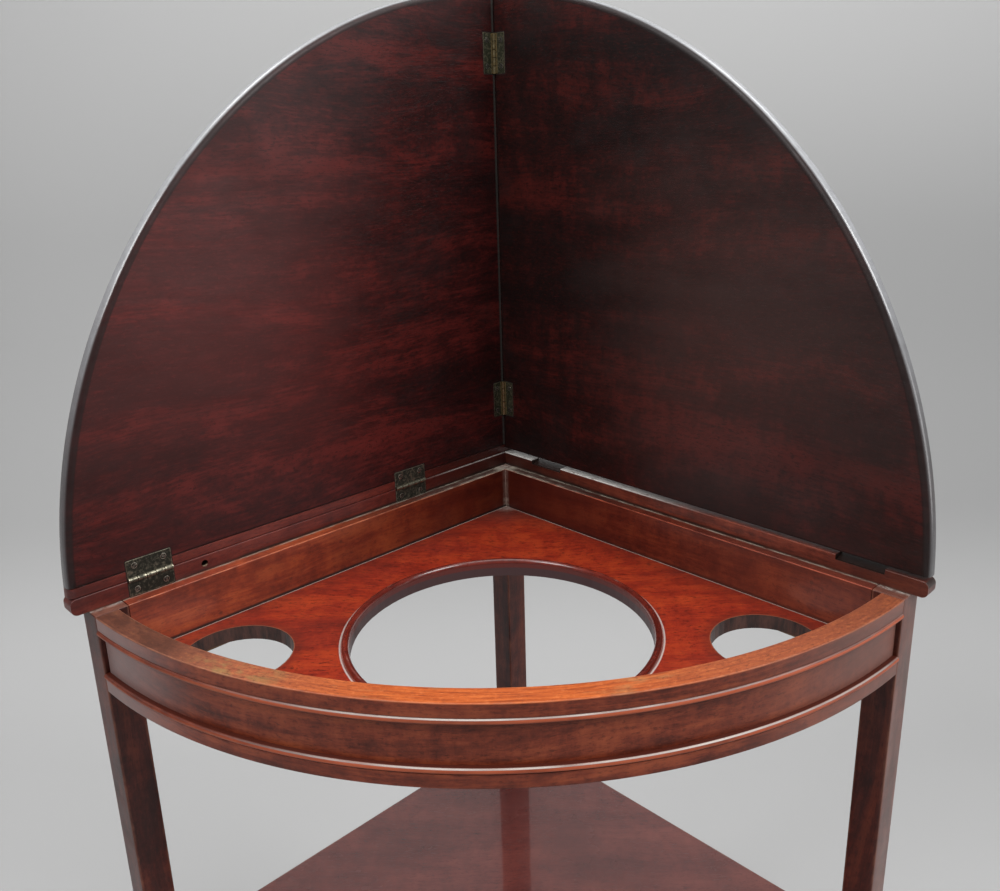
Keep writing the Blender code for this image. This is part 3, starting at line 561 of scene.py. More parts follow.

# %% [markdown]
# A soft patch of painted sheen, a lighter red, is added round a middle of each leaf, and
# painted shade along its rounded shoulder. Dull dirt lies along the seam, and pale dust with a
# painted highlight on the back of the half-round edge. Both leaves are darker and less polished
# than the strips.

# %% Finishes of the leaves and strips
def sheen_shade_and_dust_by(middle, reach, amount, seam=0.0):
    """A leaf's soft patch of painted sheen, painted shade on its rounded shoulder, a dull line at the seam,
    and dust with a painted highlight on its upper edge.
    """
    def mark(g, colour):
        along, height, out = g.wood()
        edge = g.value("edge")
        away = g.length(g.minus(along, middle[0]), g.minus(height, RAIL_TOP + middle[1]))
        away = g.plus(away, g.times(g.minus(g.grain((7, 16, 16), rough=0.6), 0.5), 0.22))
        # Painted sheen round the middle, then painted shade along the rounded edge.
        colour = g.blend(g.step(away, reach, 0.0), colour, amount, kind="ADD")
        colour = g.blend(g.step(edge, 0.0, 0.9, 0, 0.75), colour, (0.008, 0.0035, 0.0035))
        if seam:
            line = g.times(g.step(along, 0.003, 0.0016, 0, seam), g.step(along, -0.0004, 0.0))
            colour = g.blend(line, colour, (0.044, 0.046, 0.042))
        # Pale dust and a painted highlight on the back of the half-round edge.
        dust = g.times(g.between(out, -0.012, -0.0095, -0.0034, -0.0016), g.step(edge, 0.3, 0.9),
                       g.step(height, RAIL_TOP + 0.08, RAIL_TOP + 0.32, 0.15, 0.85))
        return g.blend(dust, colour, (0.43, 0.44, 0.46))
    return mark


LEAF_LOOK = dict(gloss=0.36, wear=0.25, coat=0.0, rim_coat=0.9)
LEFT_LEAF_WOOD = mahogany(
    "dark_left_leaf", (0.012, 0.0028, 0.0028), (0.036, 0.0047, 0.0044), (0.088, 0.01, 0.0082),
    (0.024, 0.014, 0.013), figure=(0.39, 0.65), spots=0.25, broad=3.4, cloud=0.5, shine=0.3,
    fine=0.28, fleck=0.7, cross=(34, 68, 68),
    extra=sheen_shade_and_dust_by((0.315, 0.2), 0.235, (0.05, 0.008, 0.0066), seam=0.8), **LEAF_LOOK)
RIGHT_LEAF_WOOD = mahogany(
    "dark_right_leaf", (0.008, 0.003, 0.0028), (0.02, 0.0039, 0.0035), (0.056, 0.0074, 0.0058),
    (0.024, 0.017, 0.016), figure=(0.39, 0.66), spots=0.2, broad=3.2, cloud=0.55, shine=0.32,
    fine=0.22, fleck=0.8, shift=(0.7, 0.3, 0.2),
    extra=sheen_shade_and_dust_by((0.29, 0.175), 0.24, (0.034, 0.0175, 0.0155)), **LEAF_LOOK)
LEFT_STRIP_WOOD = mahogany(
    "red_left_strip", (0.05, 0.008, 0.0068), (0.112, 0.017, 0.012), (0.175, 0.029, 0.018),
    (0.22, 0.12, 0.08), gloss=0.32, shift=(0.2, 0.9, 0.4), wear=0.4, extra=hole_shadow)
RIGHT_STRIP_WOOD = mahogany(
    "brown_right_strip", (0.066, 0.014, 0.0085), (0.16, 0.031, 0.017), (0.25, 0.055, 0.028),
    (0.24, 0.14, 0.1), gloss=0.32, shift=(0.5, 0.1, 0.9), wear=0.5, extra=notch_shadow)
print("finishes of the top:", LEFT_LEAF_WOOD.name, RIGHT_LEAF_WOOD.name, LEFT_STRIP_WOOD.name,
      RIGHT_STRIP_WOOD.name)

# %% [markdown]
# ## The folding top
# Each leaf is a quarter of a disc, struck from the back corner of the strips below, so that
# the closed top has one continuous curved edge. A leaf drawn as a board gets its outline in
# the plane of the wall: along the wall and up. The grain lies level on both.

# %% The leaves
TOP_RADIUS = 0.459
HALF_ROUND = 0.005
EASED = 0.0004
ARC_STEPS = 96
LIPPING = 0.0075
SEAM = 0.0003
DROOP = (0.0046, 0.0028)    # right leaf above its strip, at the seam and at its free end
TOP_CENTRE = (-LEAF, RAIL_TOP)


def leaf_outline(inner, foot_inner, foot_outer):
    """Foot, curved edge and inner side of a leaf; the arc's centre is the strips' back corner."""
    first = math.asin((foot_outer - RAIL_TOP) / TOP_RADIUS)
    last = math.acos((inner + LEAF) / TOP_RADIUS)
    arc = arc_run(TOP_CENTRE, TOP_RADIUS, first, last, ARC_STEPS)
    top = (inner, RAIL_TOP + TOP_RADIUS * math.sin(last))
    foot = (inner, foot_inner)
    return join((run(foot, arc[0]), EASED), (arc, HALF_ROUND), (run(top, foot), EASED))


FULL_THICKNESS = dict(low=-LEAF, high=-SEAM, steps=6, slot="dark_mahogany")
foot = HINGE_LEVEL + 2 * SEAM + LIPPING
outline, radii = leaf_outline(-LEAF, foot, foot)
add_board("left_leaf_board", outline, radii, place=on_left_wall, material=LEFT_LEAF_WOOD, fade=0.0015,
          nodes=["left_leaf"], **FULL_THICKNESS)
outline, radii = leaf_outline(SEAM, HINGE_LEVEL + DROOP[0], HINGE_LEVEL + DROOP[1])
add_board("right_leaf_board", outline, radii, place=on_right_wall, material=RIGHT_LEAF_WOOD, fade=0.0015,
          body="right_leaf", nodes=["right_leaf"], **FULL_THICKNESS)
print("leaf outline has", len(outline), "points")

# %% [markdown]
# The left leaf stands on a lipping, a narrow strip of redder wood glued along its foot. Its
# outer end follows the leaf's curve, so its outline takes a short piece of the same circle.

# %% The lipping
SHARP = 0.0002
foot, top = HINGE_LEVEL + SEAM, HINGE_LEVEL + SEAM + LIPPING
first, last = (math.asin((height - RAIL_TOP) / TOP_RADIUS) for height in (foot, top))
end = arc_run(TOP_CENTRE, TOP_RADIUS, first, last, 4)
tip, foot, top = (TOP_RADIUS * math.cos(last) - LEAF, top), (-LEAF, foot), (-LEAF, top)
outline, radii = join((run(foot, end[0]), SHARP), (end, HALF_ROUND), (run(tip, top), SHARP),
                      (run(top, foot), SHARP))
add_board("left_leaf_foot_lipping", outline, radii, place=on_left_wall, material=LEFT_STRIP_WOOD,
          fade=0.0008, worn=0.2, nodes=["left_leaf_lipping"], **FULL_THICKNESS)
print("lipping", LIPPING, "high")

# %% [markdown]
# Below come the two fixed strips that the hinges are screwed to. A strip is a bar: a softened
# square, repeated at stations along it. Towards its free end it shrinks in height, as the
# half-round edge above it does. Where a notch begins or ends, two stations lie a hair apart,
# so that its walls stand upright.

# %% Stations and sections of a strip
LEAF_REACH = TOP_RADIUS - LEAF
HAIR = 1e-5                 # between the two stations at which a notch begins or ends
SQUEEZED = 0.02             # share of its height above a notch's floor that a point keeps there


def strip_stations(start, spots=()):
    """Distances along a strip: dense at its rounded end, and doubled at the edges of each notch."""
    dense = LEAF_REACH - HALF_ROUND * (1 - np.sin(np.linspace(0, math.pi / 2, 8)))
    marks = [start, start + EASED]
    for low, high in spots:
        marks += [low, low + HAIR, high - HAIR, high]
    return np.array(sorted(marks) + dense.tolist())


def strip_rows(stations, extra_heights=(), notches=()):
    """A strip's section at each station: a softened square that shrinks round its free end.

    The front gets points at the extra heights, and the top one where a notch ends. In a notch
    the points above its floor are squeezed down to it, but not into one point.
    """
    square = [(-LEAF, SEAM), (0, SEAM), (0, LEAF - SEAM), (-LEAF, LEAF - SEAM)]
    section, weight = soften(square, 0.0006, fade=0.001)
    floor = LEAF - NOTCH_HEIGHT
    front = [[0, height] for height in (extra_heights or (floor, floor + HAIR))]
    top = [[-NOTCH_DEEP + HAIR, LEAF - SEAM], [-NOTCH_DEEP, LEAF - SEAM]]
    two, three = 2 * CORNER_POINTS, 3 * CORNER_POINTS       # where the front ends, where the top ends
    section = np.concatenate([section[:two], front, section[two:three], top, section[three:]])
    plain = np.zeros(len(front))
    weight = np.concatenate([weight[:two], plain, weight[two:three] * 0.3, [0, 0], weight[three:]])
    middle = np.array([-LEAF / 2, LEAF / 2])
    past = np.clip((stations - (LEAF_REACH - HALF_ROUND)) / HALF_ROUND, 0, 1)
    shrink = 1 - (HALF_ROUND / (LEAF / 2)) * (1 - np.sqrt(np.clip(1 - past ** 2, 0.0005, 1)))
    flat = middle + (section - middle) * np.stack([np.ones_like(shrink), shrink], -1)[:, None, :]
    for low, high in notches:
        inside = ((stations > low) & (stations < high))[:, None]
        cut = (flat[..., 0] > -NOTCH_DEEP) & (flat[..., 1] > floor)
        squeezed = floor + (flat[..., 1] - floor) * SQUEEZED
        flat[..., 1] = np.where(inside & cut, squeezed, flat[..., 1])
    along = np.broadcast_to(stations[:, None], flat.shape[:2])
    return np.stack([along, RAIL_TOP + flat[..., 1], flat[..., 0]], -1), weight


print("a plain strip has", len(strip_stations(SEAM)), "stations")

# %% [markdown]
# The left strip has an old screw hole in its front. A boolean would leave thin faces round it,
# so the grid of the front is bent into the hole instead: nine by nine points in nested squares
# become circles, and the inner ones sink in.

# %% The left strip and its screw hole
ladder = np.arange(-4, 5)
window = 1.7 * HOLE_RADIUS / 4
stations = np.sort(np.concatenate([strip_stations(-LEAF), HOLE_PLACE + ladder * window]))
rows, weight = strip_rows(stations, tuple(LEAF / 2 + ladder * window))
first = int(np.argmin(np.abs(stations - (HOLE_PLACE - 4 * window))))
i, j = np.meshgrid(ladder, ladder, indexing="ij")
nest = np.maximum(np.abs(i), np.abs(j))
circle = np.array([0, 0.55, 0.93, 1.0])[np.minimum(nest, 3)] * HOLE_RADIUS
heading = np.arctan2(j, i)
front, count = 2 * CORNER_POINTS, len(ladder)
along, height, out = np.moveaxis(rows[first:first + count, front:front + count], -1, 0)
along[:] = np.where(nest < 4, HOLE_PLACE + circle * np.cos(heading), along)
height[:] = np.where(nest < 4, RAIL_TOP + LEAF / 2 + circle * np.sin(heading), height)
out[:] = np.where(nest < 3, -HOLE_DEPTH, out)
add_piece("left_strip_bar", on_left_wall(rows), rows, weight, LEFT_STRIP_WOOD, slot="dark_mahogany",
          nodes=["left_strip"])
print("screw hole", HOLE_PLACE, "along the wall, radius", HOLE_RADIUS)

# %% [markdown]
# The right strip was notched where the knuckles of the seam's hinges fold down onto it. Seen
# from above, the floor of a notch lies in the shade of its walls, so a thin dark lining covers
# it, a little smaller than the notch.

# %% The right strip and its notches
NOTCH_SHARES = (0.1326, 0.8809)
NOTCH_HALF = 0.02
middles = [LEAF_REACH * share for share in NOTCH_SHARES]
notches = [(middle - NOTCH_HALF, middle + NOTCH_HALF) for middle in middles]
rows, weight = strip_rows(strip_stations(SEAM, notches), notches=notches)
add_piece("right_strip_bar", on_right_wall(rows), rows, weight, RIGHT_STRIP_WOOD, slot="dark_mahogany",
          nodes=["right_strip"])
LINING = Recipe("notch_shadow").finish((0.022, 0.013, 0.011, 1), 0.95, specular=0.05)
floor = RAIL_TOP + LEAF - NOTCH_HEIGHT
for number, (low, high) in enumerate(notches, 1):
    low, high, deep, mouth = low + 0.0002, high - 0.0002, -NOTCH_DEEP + 0.0002, -0.0003
    add_board(f"right_strip_notch_{number}_floor", [(low, deep), (high, deep), (high, mouth), (low, mouth)],
              0.00002, floor - 0.0001, floor + 0.0002, lambda rows: on_right_wall(rows[..., [0, 2, 1]]),
              LINING, steps=1, fade=0.0001, worn=0, slot="dark_mahogany")
print("notches of the right strip at", [[round(v, 3) for v in pair] for pair in notches])

# %% [markdown]
# ## The bowed rail
# The front rail is bent to an arc about the corner, with a sunk panel between two flush bands
# and a bead along each edge of the panel. All of them are one profile each, carried along the
# arc. The ends are planes that lie against the legs, so the angle at which a point stops
# depends on its radius: a point further out stops a little sooner.

# %% Profiles along the bow
LEG_SIZE = 0.025
BOW_RADIUS = 0.433
LEG_INSIDE = LEG_SIZE - LEAF
BOW_STEPS = 96


def angle_at_leg(radius):
    """Angle from the middle of the front to the leg's inner side, at each radius."""
    return math.pi / 4 - np.arcsin((LEG_INSIDE + SEAM) / radius)


def minus_angle_at_leg(radius):
    """The same towards the left leg."""
    return -angle_at_leg(radius)


def along_bow(profile, first=minus_angle_at_leg, last=angle_at_leg, steps=BOW_STEPS):
    """Carry a profile of (radius, height) along the bow between two end planes.

    Point = corner + radius times (sin, -cos) of an angle that goes from first to last.
    """
    radius, height = profile[:, 0], profile[:, 1]
    share = np.linspace(0, 1, steps + 1)[:, None]
    angle = first(radius) + (last(radius) - first(radius)) * share
    radius, height = (np.broadcast_to(part, angle.shape) for part in (radius, height))
    points = [CORNER[0] + radius * np.sin(angle), CORNER[1] - radius * np.cos(angle), height]
    return np.stack(points, -1), np.stack([angle * BOW_RADIUS, height, radius], -1)


print("half the bow takes", round(math.degrees(float(angle_at_leg(BOW_RADIUS))), 2), "degrees")

# %% [markdown]
# The rail's top was handled for two hundred years: the polish there has gone to a yellow
# orange with a few pale, dry patches, and its outer edge shines. The face below kept more of its
# colour and is a quieter, browner red, with a painted grey sheen towards both ends. One recipe
# serves both, with a blend by height: everything above the top edge of the rail's face is the
# bright wood.

# %% The bowed rail's finish
def bright_top_and_face_sheen(g, colour):
    """The orange of the rail's top over the face, duller and dirtier towards both ends, and a painted grey
    sheen on both ends of the face.
    """
    right, height, _ = g.wood()
    left = g.times(right, -1.0)
    mottle, specks = g.grain((50, 90, 90)), g.grain((230, 420, 420), rough=0.75)
    pale = g.noise(g.stretch(g.vector("wood"), (16, 60, 60), (4.3, 0, 0)), detail=4, rough=0.6)
    olive = g.times(g.between(left, 0.13, 0.17, 0.2, 0.23), g.step(mottle, 0.46, 0.6, 0, 0.6))
    marked = g.times(g.step(specks, 0.52, 0.66), g.step(g.math("ABSOLUTE", right), 0.03, 0.16, 0.32, 0.7))
    dirty = g.times(g.most(g.step(left, 0.19, 0.26, 0, 0.85), g.step(right, 0.16, 0.32, 0, 0.42)),
                    g.step(mottle, 0.4, 0.6, 0.97, 0.7))
    orange = g.ramp(g.grain((30, 500, 500), 3, 0.6), (0.3, (0.22, 0.04, 0.012)),
                    (0.52, (0.45, 0.094, 0.022)), (0.75, (0.6, 0.155, 0.038)))
    orange = g.lay(orange, (g.step(pale, 0.54, 0.7, 0, 0.55), (0.4, 0.235, 0.095)),
                   (g.step(left, 0.05, 0.24, 0, 0.78), (0.2, 0.082, 0.055)),
                   (g.step(right, 0.03, 0.2, 0, 0.62), (0.215, 0.068, 0.04)),
                   (olive, (0.26, 0.18, 0.07)), (marked, (0.095, 0.028, 0.016)),
                   (g.step(specks, 0.46, 0.36, 0, 0.28), (0.7, 0.24, 0.085)),
                   (dirty, (0.052, 0.02, 0.014)))
    # Painted grey sheen on both ends of the face, then the orange top above the face.
    return g.lay(colour, (g.step(right, 0.13, 0.32, 0, 0.6), (0.225, 0.125, 0.105)),
                 (g.step(left, 0.2, 0.31, 0, 0.72), (0.24, 0.18, 0.175)),
                 (g.step(height, RAIL_TOP - 0.0012, RAIL_TOP - 0.0002), orange))


print("bright wood above", round(RAIL_TOP - 0.0002, 4))

# %% [markdown]
# A bead holds dust on its upper side, painted pale there as a highlight as well, and its round
# front is rubbed by every cloth that passes. Both marks are bands of height, measured from the
# bead's middle, so one loop makes them for both beads. They fade along the bow, as they do on
# the real rail.

# %% The beads' marks and both finishes
BEAD_WIDTH = 0.0044
BAND = 0.0108
RAIL_HEIGHT = 0.063
BEADS = {"apron_upper_bead": RAIL_TOP - BAND - SEAM - BEAD_WIDTH / 2,
         "apron_lower_bead": RAIL_TOP - RAIL_HEIGHT + BAND + SEAM + BEAD_WIDTH / 2}


def crest_dust_and_highlight(g, colour):
    """Pale wax and dust with a painted highlight on the upper side of each bead, with gaps where it was
    wiped.
    """
    along, height, radius = g.wood()
    wiped = g.grain((9, 40, 40), 3, 0.6)
    for middle in BEADS.values():
        # Pale dust with a painted highlight on the bead's upper side; the rubbed front below.
        line = g.times(g.between(height, middle + 0.0012, middle + 0.0017, middle + 0.0021, middle + 0.0022),
                       g.step(wiped, 0.34, 0.58, 0.25, 0.95), g.step(along, -0.22, -0.02, 0.04, 1),
                       g.step(along, 0.3, 0.14, 0.6, 1))
        glow = g.times(g.between(height, middle - 0.0014, middle - 0.0006, middle + 0.0011, middle + 0.0015),
                       g.step(along, -0.28, -0.1, 0.12, 0.8), g.step(wiped, 0.64, 0.42, 0.3, 1))
        colour = g.lay(colour, (line, (0.56, 0.5, 0.46)), (glow, (0.43, 0.085, 0.032)))
    seat = g.step(radius, BOW_RADIUS + 0.0001, BOW_RADIUS - 0.0012)
    return g.blend(seat, colour, (0.07, 0.013, 0.007))


BOW_WOOD = mahogany(
    "bowed_rail_wood", (0.054, 0.0105, 0.0062), (0.156, 0.0285, 0.013), (0.265, 0.058, 0.023),
    (0.38, 0.15, 0.085), gloss=0.36, wear=0.5, cloud=0.25, shift=(1.3, 0.2, 0.5), extra=bright_top_and_face_sheen,
    coat=0.0, shine=0.26)
BEAD_WOOD = mahogany(
    "bead_wood", (0.07, 0.012, 0.006), (0.15, 0.026, 0.011), (0.25, 0.05, 0.018),
    (0.38, 0.12, 0.06), gloss=0.36, wear=0.45, cloud=0.2, shift=(2.1, 0.2, 0.5), extra=crest_dust_and_highlight,
    coat=0.0, shine=0.3)
print("finish of the bowed rail:", BOW_WOOD.name, "and of its beads:", BEAD_WOOD.name)

# %% [markdown]
# The real rail's section, from the inner face round the bottom and up the front: the lower
# band, a step in to the panel, the panel, a step out to the upper band, and the flat top.

# %% The bowed rail and its beads
BOW_THICKNESS = 0.0175
PANEL_SINK = 0.004
BEAD_RISE = 0.005

inner, panel = BOW_RADIUS - BOW_THICKNESS, BOW_RADIUS - PANEL_SINK
bottom = RAIL_TOP - RAIL_HEIGHT
low_band, high_band = bottom + BAND, RAIL_TOP - BAND
corners = [(inner, bottom), (BOW_RADIUS, bottom), (BOW_RADIUS, low_band), (panel, low_band),
           (panel, high_band), (BOW_RADIUS, high_band), (BOW_RADIUS, RAIL_TOP), (inner, RAIL_TOP)]
profile, weight = soften(corners, [0.0006, 0.0008] + [0.0002] * 4 + [0.0006, 0.0008], fade=0.0012)
weight[CORNER_POINTS:-2 * CORNER_POINTS] *= np.array([0.5, 0, 0, 0, 0]).repeat(CORNER_POINTS)
points, wood = along_bow(profile)
add_piece("bowed_front_rail", points, wood, weight, BOW_WOOD, nodes=["bow_rail"])

turn_share = np.linspace(0, math.pi, 13)
half, seat = BEAD_WIDTH / 2, panel + SEAM
weight = np.concatenate([[0, 0], np.sin(turn_share) ** 3])
for name, middle in BEADS.items():
    dome = [seat + BEAD_RISE - half + half * np.sin(turn_share), middle + half * np.cos(turn_share)]
    profile = np.concatenate([[[seat, middle - half], [seat, middle + half]], np.stack(dome, -1)])
    points, wood = along_bow(profile)
    add_piece(name + "_moulding", points, wood, weight, BEAD_WOOD, nodes=[name], angle=50)
print("bowed rail from radius", round(inner, 4), "to", BOW_RADIUS)

# %% [markdown]
# ## The back rails and the legs
# Both back rails are plain bars, set against the walls. Five stations are enough for a bar:
# its two ends, a point close to each for the softened edge, and its middle.

# %% Bars along the walls
RAIL_INSIDE = 0.0105
LEG_NEAR = BOW_RADIUS - LEG_SIZE
BOARD_BOTTOM, BOARD_TOP = levels_of("basin_board")


def rail_rows(first, last, out_low, out_high, bottom, top):
    """A bar along a wall at five stations: points of (along, height, out) and their weight."""
    corners = [(out_low, bottom), (out_high, bottom), (out_high, top), (out_low, top)]
    section, weight = soften(corners, 0.0006, fade=0.0008)
    stations = np.array([first, first + 0.0006, (first + last) / 2, last - 0.0006, last])
    along, index = np.meshgrid(stations, np.arange(len(section)), indexing="ij")
    return np.stack([along, section[index][..., 1], section[index][..., 0]], -1), weight


print("a rail has", len(rail_rows(0, 1, 0, 0.01, 0, 0.01)[1]), "points round its section")

# %% [markdown]
# On the left one the light from the room has bleached the polish to a mottled orange brown;
# the right one stayed a darker red. Only the inner top edge is worn bright, and along the
# strips lies a line of old dust. Both rails get painted shade towards the corner, where dust
# gathered round the leg, and painted shade in the joint above the board. Near the corner their
# tops carry the strips' painted shadow, and a painted sheen lightens their far ends.

# %% The back rails
CORNER_DUST = 0.016


def dusty_ledge(g):
    """Pale dust on top of the back rails, along the strips and in the corner."""
    along, height, out = g.wood()
    broken = g.grain((60, 300, 300), rough=0.7)
    behind = g.times(g.step(out, 0.0023, 0.0007), g.step(broken, 0.35, 0.6, 0.05, 0.7))
    front = g.times(g.step(along, 0.15, 0.04), g.step(broken, 0.4, 0.58, 0.2, 0.8),
                    g.step(out, RAIL_INSIDE - 0.0042, RAIL_INSIDE - 0.0016, 0.18, 1))
    dust = g.most(behind, front, g.step(along, 0.024, 0.013, 0, 0.85))
    return g.times(g.step(height, RAIL_TOP - 0.0007, RAIL_TOP - 0.0001), dust)


def shadow_of(strength, reach):
    """A rail with painted shade towards the corner and dust there, a painted sheen at its far end, the
    strips' painted shadow on its top, and painted shade in the joint above the board.
    """
    def mark(g, colour):
        along, height, out = g.wood()
        knot = g.times(g.step(along, CORNER_DUST, LEG_INSIDE + 0.001),
                       g.step(height, BOARD_TOP + 0.013, BOARD_TOP + 0.006, 0.35, 1),
                       g.step(g.noise(g.vector("wood"), 210.0, detail=4, rough=0.7), 0.38, 0.58, 0.3, 0.95))
        # Painted shade towards the corner, and dust there.
        colour = g.lay(colour, (g.step(along, reach, 0.04, 0, 0.78), (0.044, 0.0052, 0.003)),
                       (knot, (0.3, 0.23, 0.19)))
        # Painted sheen lightens the rail's far end.
        colour = g.blend(g.step(along, 0.18, 0.34), colour, (0.036, 0.011, 0.007), kind="ADD")
        # The strips' painted shadow on the rail's top near the corner, and painted shade in the joint above
        # the board.
        top = g.times(g.step(height, RAIL_TOP - 0.0008, RAIL_TOP - 0.0002), g.step(along, 0.24, 0.1, 0, 0.8))
        joint = g.times(g.step(out, RAIL_INSIDE - 0.0006, RAIL_INSIDE - 0.0002),
                        g.step(height, BOARD_TOP + 0.0032, BOARD_TOP + 0.0012, 0, strength))
        return g.lay(colour, (top, (0.03, 0.011, 0.0085)), (joint, (0.008, 0.004, 0.004)))
    return mark


RAIL_LOOK = dict(wear=0.8, dust=dusty_ledge, spots=0.4, broad=1.6)
LEFT_RAIL_WOOD = mahogany(
    "left_rail_wood", (0.09, 0.01, 0.004), (0.225, 0.031, 0.01), (0.375, 0.073, 0.021),
    (0.56, 0.17, 0.08), gloss=0.36, figure=(0.32, 0.66), cloud=0.45, shift=(3.1, 0.7, 0.1),
    extra=shadow_of(0.9, 0.28), **RAIL_LOOK)
RIGHT_RAIL_WOOD = mahogany(
    "right_rail_wood", (0.052, 0.007, 0.0042), (0.118, 0.0175, 0.0078), (0.195, 0.036, 0.014),
    (0.44, 0.085, 0.038), gloss=0.34, cloud=0.4, shift=(5.1, 0.3, 0.6), extra=shadow_of(0.45, 0.22),
    **RAIL_LOOK)
rows, weight = rail_rows(RAIL_INSIDE + SEAM, LEG_NEAR - SEAM, -LEAF, RAIL_INSIDE, bottom, RAIL_TOP)
add_piece("left_back_rail_bar", on_left_wall(rows), rows, weight, LEFT_RAIL_WOOD, nodes=["left_back_rail"])
add_piece("right_back_rail_bar", on_right_wall(rows), rows, weight, RIGHT_RAIL_WOOD,
          nodes=["right_back_rail"])
print("back rails", round(LEG_NEAR - RAIL_INSIDE, 4), "long")

# %% [markdown]
# The front legs are square and straight down to the stretcher, taper a little, and sweep out
# at the foot. A leg is its square section carried down the leg, with the size and the outward
# shift of each level from two short formulas: a straight line for the taper and a parabola for
# the sweep. The back leg stays straight so that it can stand close to the corner.

# %% Shape of a leg
FOOT_SIZE = 0.021
FOOT_SWEEP = 0.0237
SWEEP_HEIGHT = 0.14
TAPER_TOP, _ = levels_of("left_lower_rail")
FOOT_LEVELS, TOP_LEVELS = [0, 0.0006], [0.6, RAIL_TOP - 0.0006, RAIL_TOP]
SWEPT_LEVELS = np.linspace(0.002, SWEEP_HEIGHT, 28)


def leg_rows(levels, sweep):
    """Softened squares, one per level: along the wall, out from it, height, and edge weight."""
    taper = np.clip(1 - levels / TAPER_TOP, 0, 1)
    size = LEG_SIZE - (LEG_SIZE - FOOT_SIZE) * taper
    shift = sweep * np.clip(1 - levels / SWEEP_HEIGHT, 0, None) ** 2
    unit, weight = soften(SQUARE, 0.045, fade=0.12)
    end = BOW_RADIUS + shift if sweep else np.full_like(levels, -LEAF) + size
    inset = np.where((levels == levels[0]) | (levels == levels[-1]), 0.0006, 0)
    along = (end - size + inset)[:, None] + unit[:, 0] * (size - 2 * inset)[:, None]
    out = (-LEAF + inset)[:, None] + unit[:, 1] * (size - 2 * inset)[:, None]
    return along, out, np.broadcast_to(levels[:, None], along.shape), weight


print("a front leg is", FOOT_SIZE, "square at the foot and", LEG_SIZE, "above")

# %% [markdown]
# The front legs end in bare, scratched end grain, with dust on the side towards the wall. The
# outer face of the right leg gets a painted sheen; its wood is shifted, and by that the recipe
# knows which leg it is. The back leg has dust on top and down its arris, the inner corner of the
# well.

# %% Marks on the legs
RIGHT_LEG_SHIFT = 0.4       # gives the right leg another piece of the same wood


def rubbed_top_and_sheen(g, colour):
    """Dry, scratched wood on the end of a leg, and a painted sheen on the right leg's outer face."""
    height, along, out = g.wood()
    top = g.step(height, RAIL_TOP - 0.0005, RAIL_TOP - 0.0001)
    scratched = g.step(g.grain((90, 90, 700), rough=0.7), 0.38, 0.6, 0.35, 0.9)
    swept = g.step(g.grain((200, 150, 420), rough=0.75), 0.42, 0.58, 0.1, 0.85)
    colour = g.lay(colour, (g.times(top, scratched), (0.15, 0.06, 0.042)),
                   (g.times(top, swept, g.step(out, 0.0046, 0.0016)), (0.36, 0.32, 0.29)))
    # Painted sheen on the right leg's outer face.
    outer = RIGHT_LEG_SHIFT + BOW_RADIUS
    pale = g.times(g.step(along, outer - 0.0006, outer - 0.0003), g.step(height, 0.43, 0.5),
                   g.step(g.grain((9, 40, 40), 3, 0.5), 0.32, 0.66, 0.55, 1))
    return g.blend(pale, colour, (0.13, 0.095, 0.085), kind="ADD")


def dusty_corner(g, colour):
    """Dust on top of the back leg and down its arris, which is the inner corner of the well."""
    height, along, out = g.wood()
    arris = g.step(g.plus(along, out), 2 * LEG_INSIDE - 0.0032, 2 * LEG_INSIDE - 0.0016)
    dusty = g.most(g.times(g.step(height, BOARD_TOP - 0.001, BOARD_TOP), arris),
                   g.step(height, RAIL_TOP - 0.0006, RAIL_TOP - 0.0002))
    broken = g.step(g.noise(g.vector("wood"), 130.0, detail=4, rough=0.7), 0.36, 0.6, 0.3, 0.95)
    return g.blend(g.times(dusty, broken), colour, (0.36, 0.3, 0.26))


print("painted sheen on the face at", round(RIGHT_LEG_SHIFT + BOW_RADIUS, 4), "in the leg's wood")

# %% [markdown]
# Both front legs are the same rows. The left one reads them as along the left wall and out of
# it, the right one the other way round, which mirrors it. The back leg has no sweep.

# %% The three legs
LEG = dict(dark=(0.024, 0.005, 0.0038), warm=(0.062, 0.011, 0.007), bright=(0.12, 0.025, 0.013),
           worn=(0.27, 0.11, 0.07), gloss=0.36, figure=(0.34, 0.68), cloud=0.3, coat=0.0, shine=0.3)
LEG_WOOD = mahogany("leg_wood", shift=(0.4, 2.2, 0.3), extra=rubbed_top_and_sheen, **LEG)
BACK_LEG_WOOD = mahogany("back_leg_wood", shift=(0.8, 1.2, 0.7), extra=dusty_corner, **LEG)
levels = np.concatenate([FOOT_LEVELS, SWEPT_LEVELS, [0.25, TAPER_TOP], TOP_LEVELS])
along, out, height, weight = leg_rows(levels, FOOT_SWEEP)
wood = np.stack([height, along, out], -1)
add_piece("left_front_leg", at_walls(along, out, height), wood, weight, LEG_WOOD, nodes=["left_leg"])
wood[..., 1] += RIGHT_LEG_SHIFT
add_piece("right_front_leg", at_walls(out, along, height), wood, weight, LEG_WOOD, nodes=["right_leg"])
along, out, height, weight = leg_rows(np.array(FOOT_LEVELS + [TAPER_TOP] + TOP_LEVELS), 0)
add_piece("straight_back_leg", at_walls(along, out, height), np.stack([height, along, out], -1), weight,
          BACK_LEG_WOOD, nodes=["back_leg"])
print("legs taper from", round(TAPER_TOP, 4), "down and sweep out by", FOOT_SWEEP)

# %% [markdown]
# ## The board for the bowl
# The board is flat, with one large and two small holes. The measured model already has exactly
# that shape, so it keeps its own mesh and only gets a finish. Every mark on it follows a hole or
# a rail, so the shader works out distances: to a hole's middle and to a rail's face.

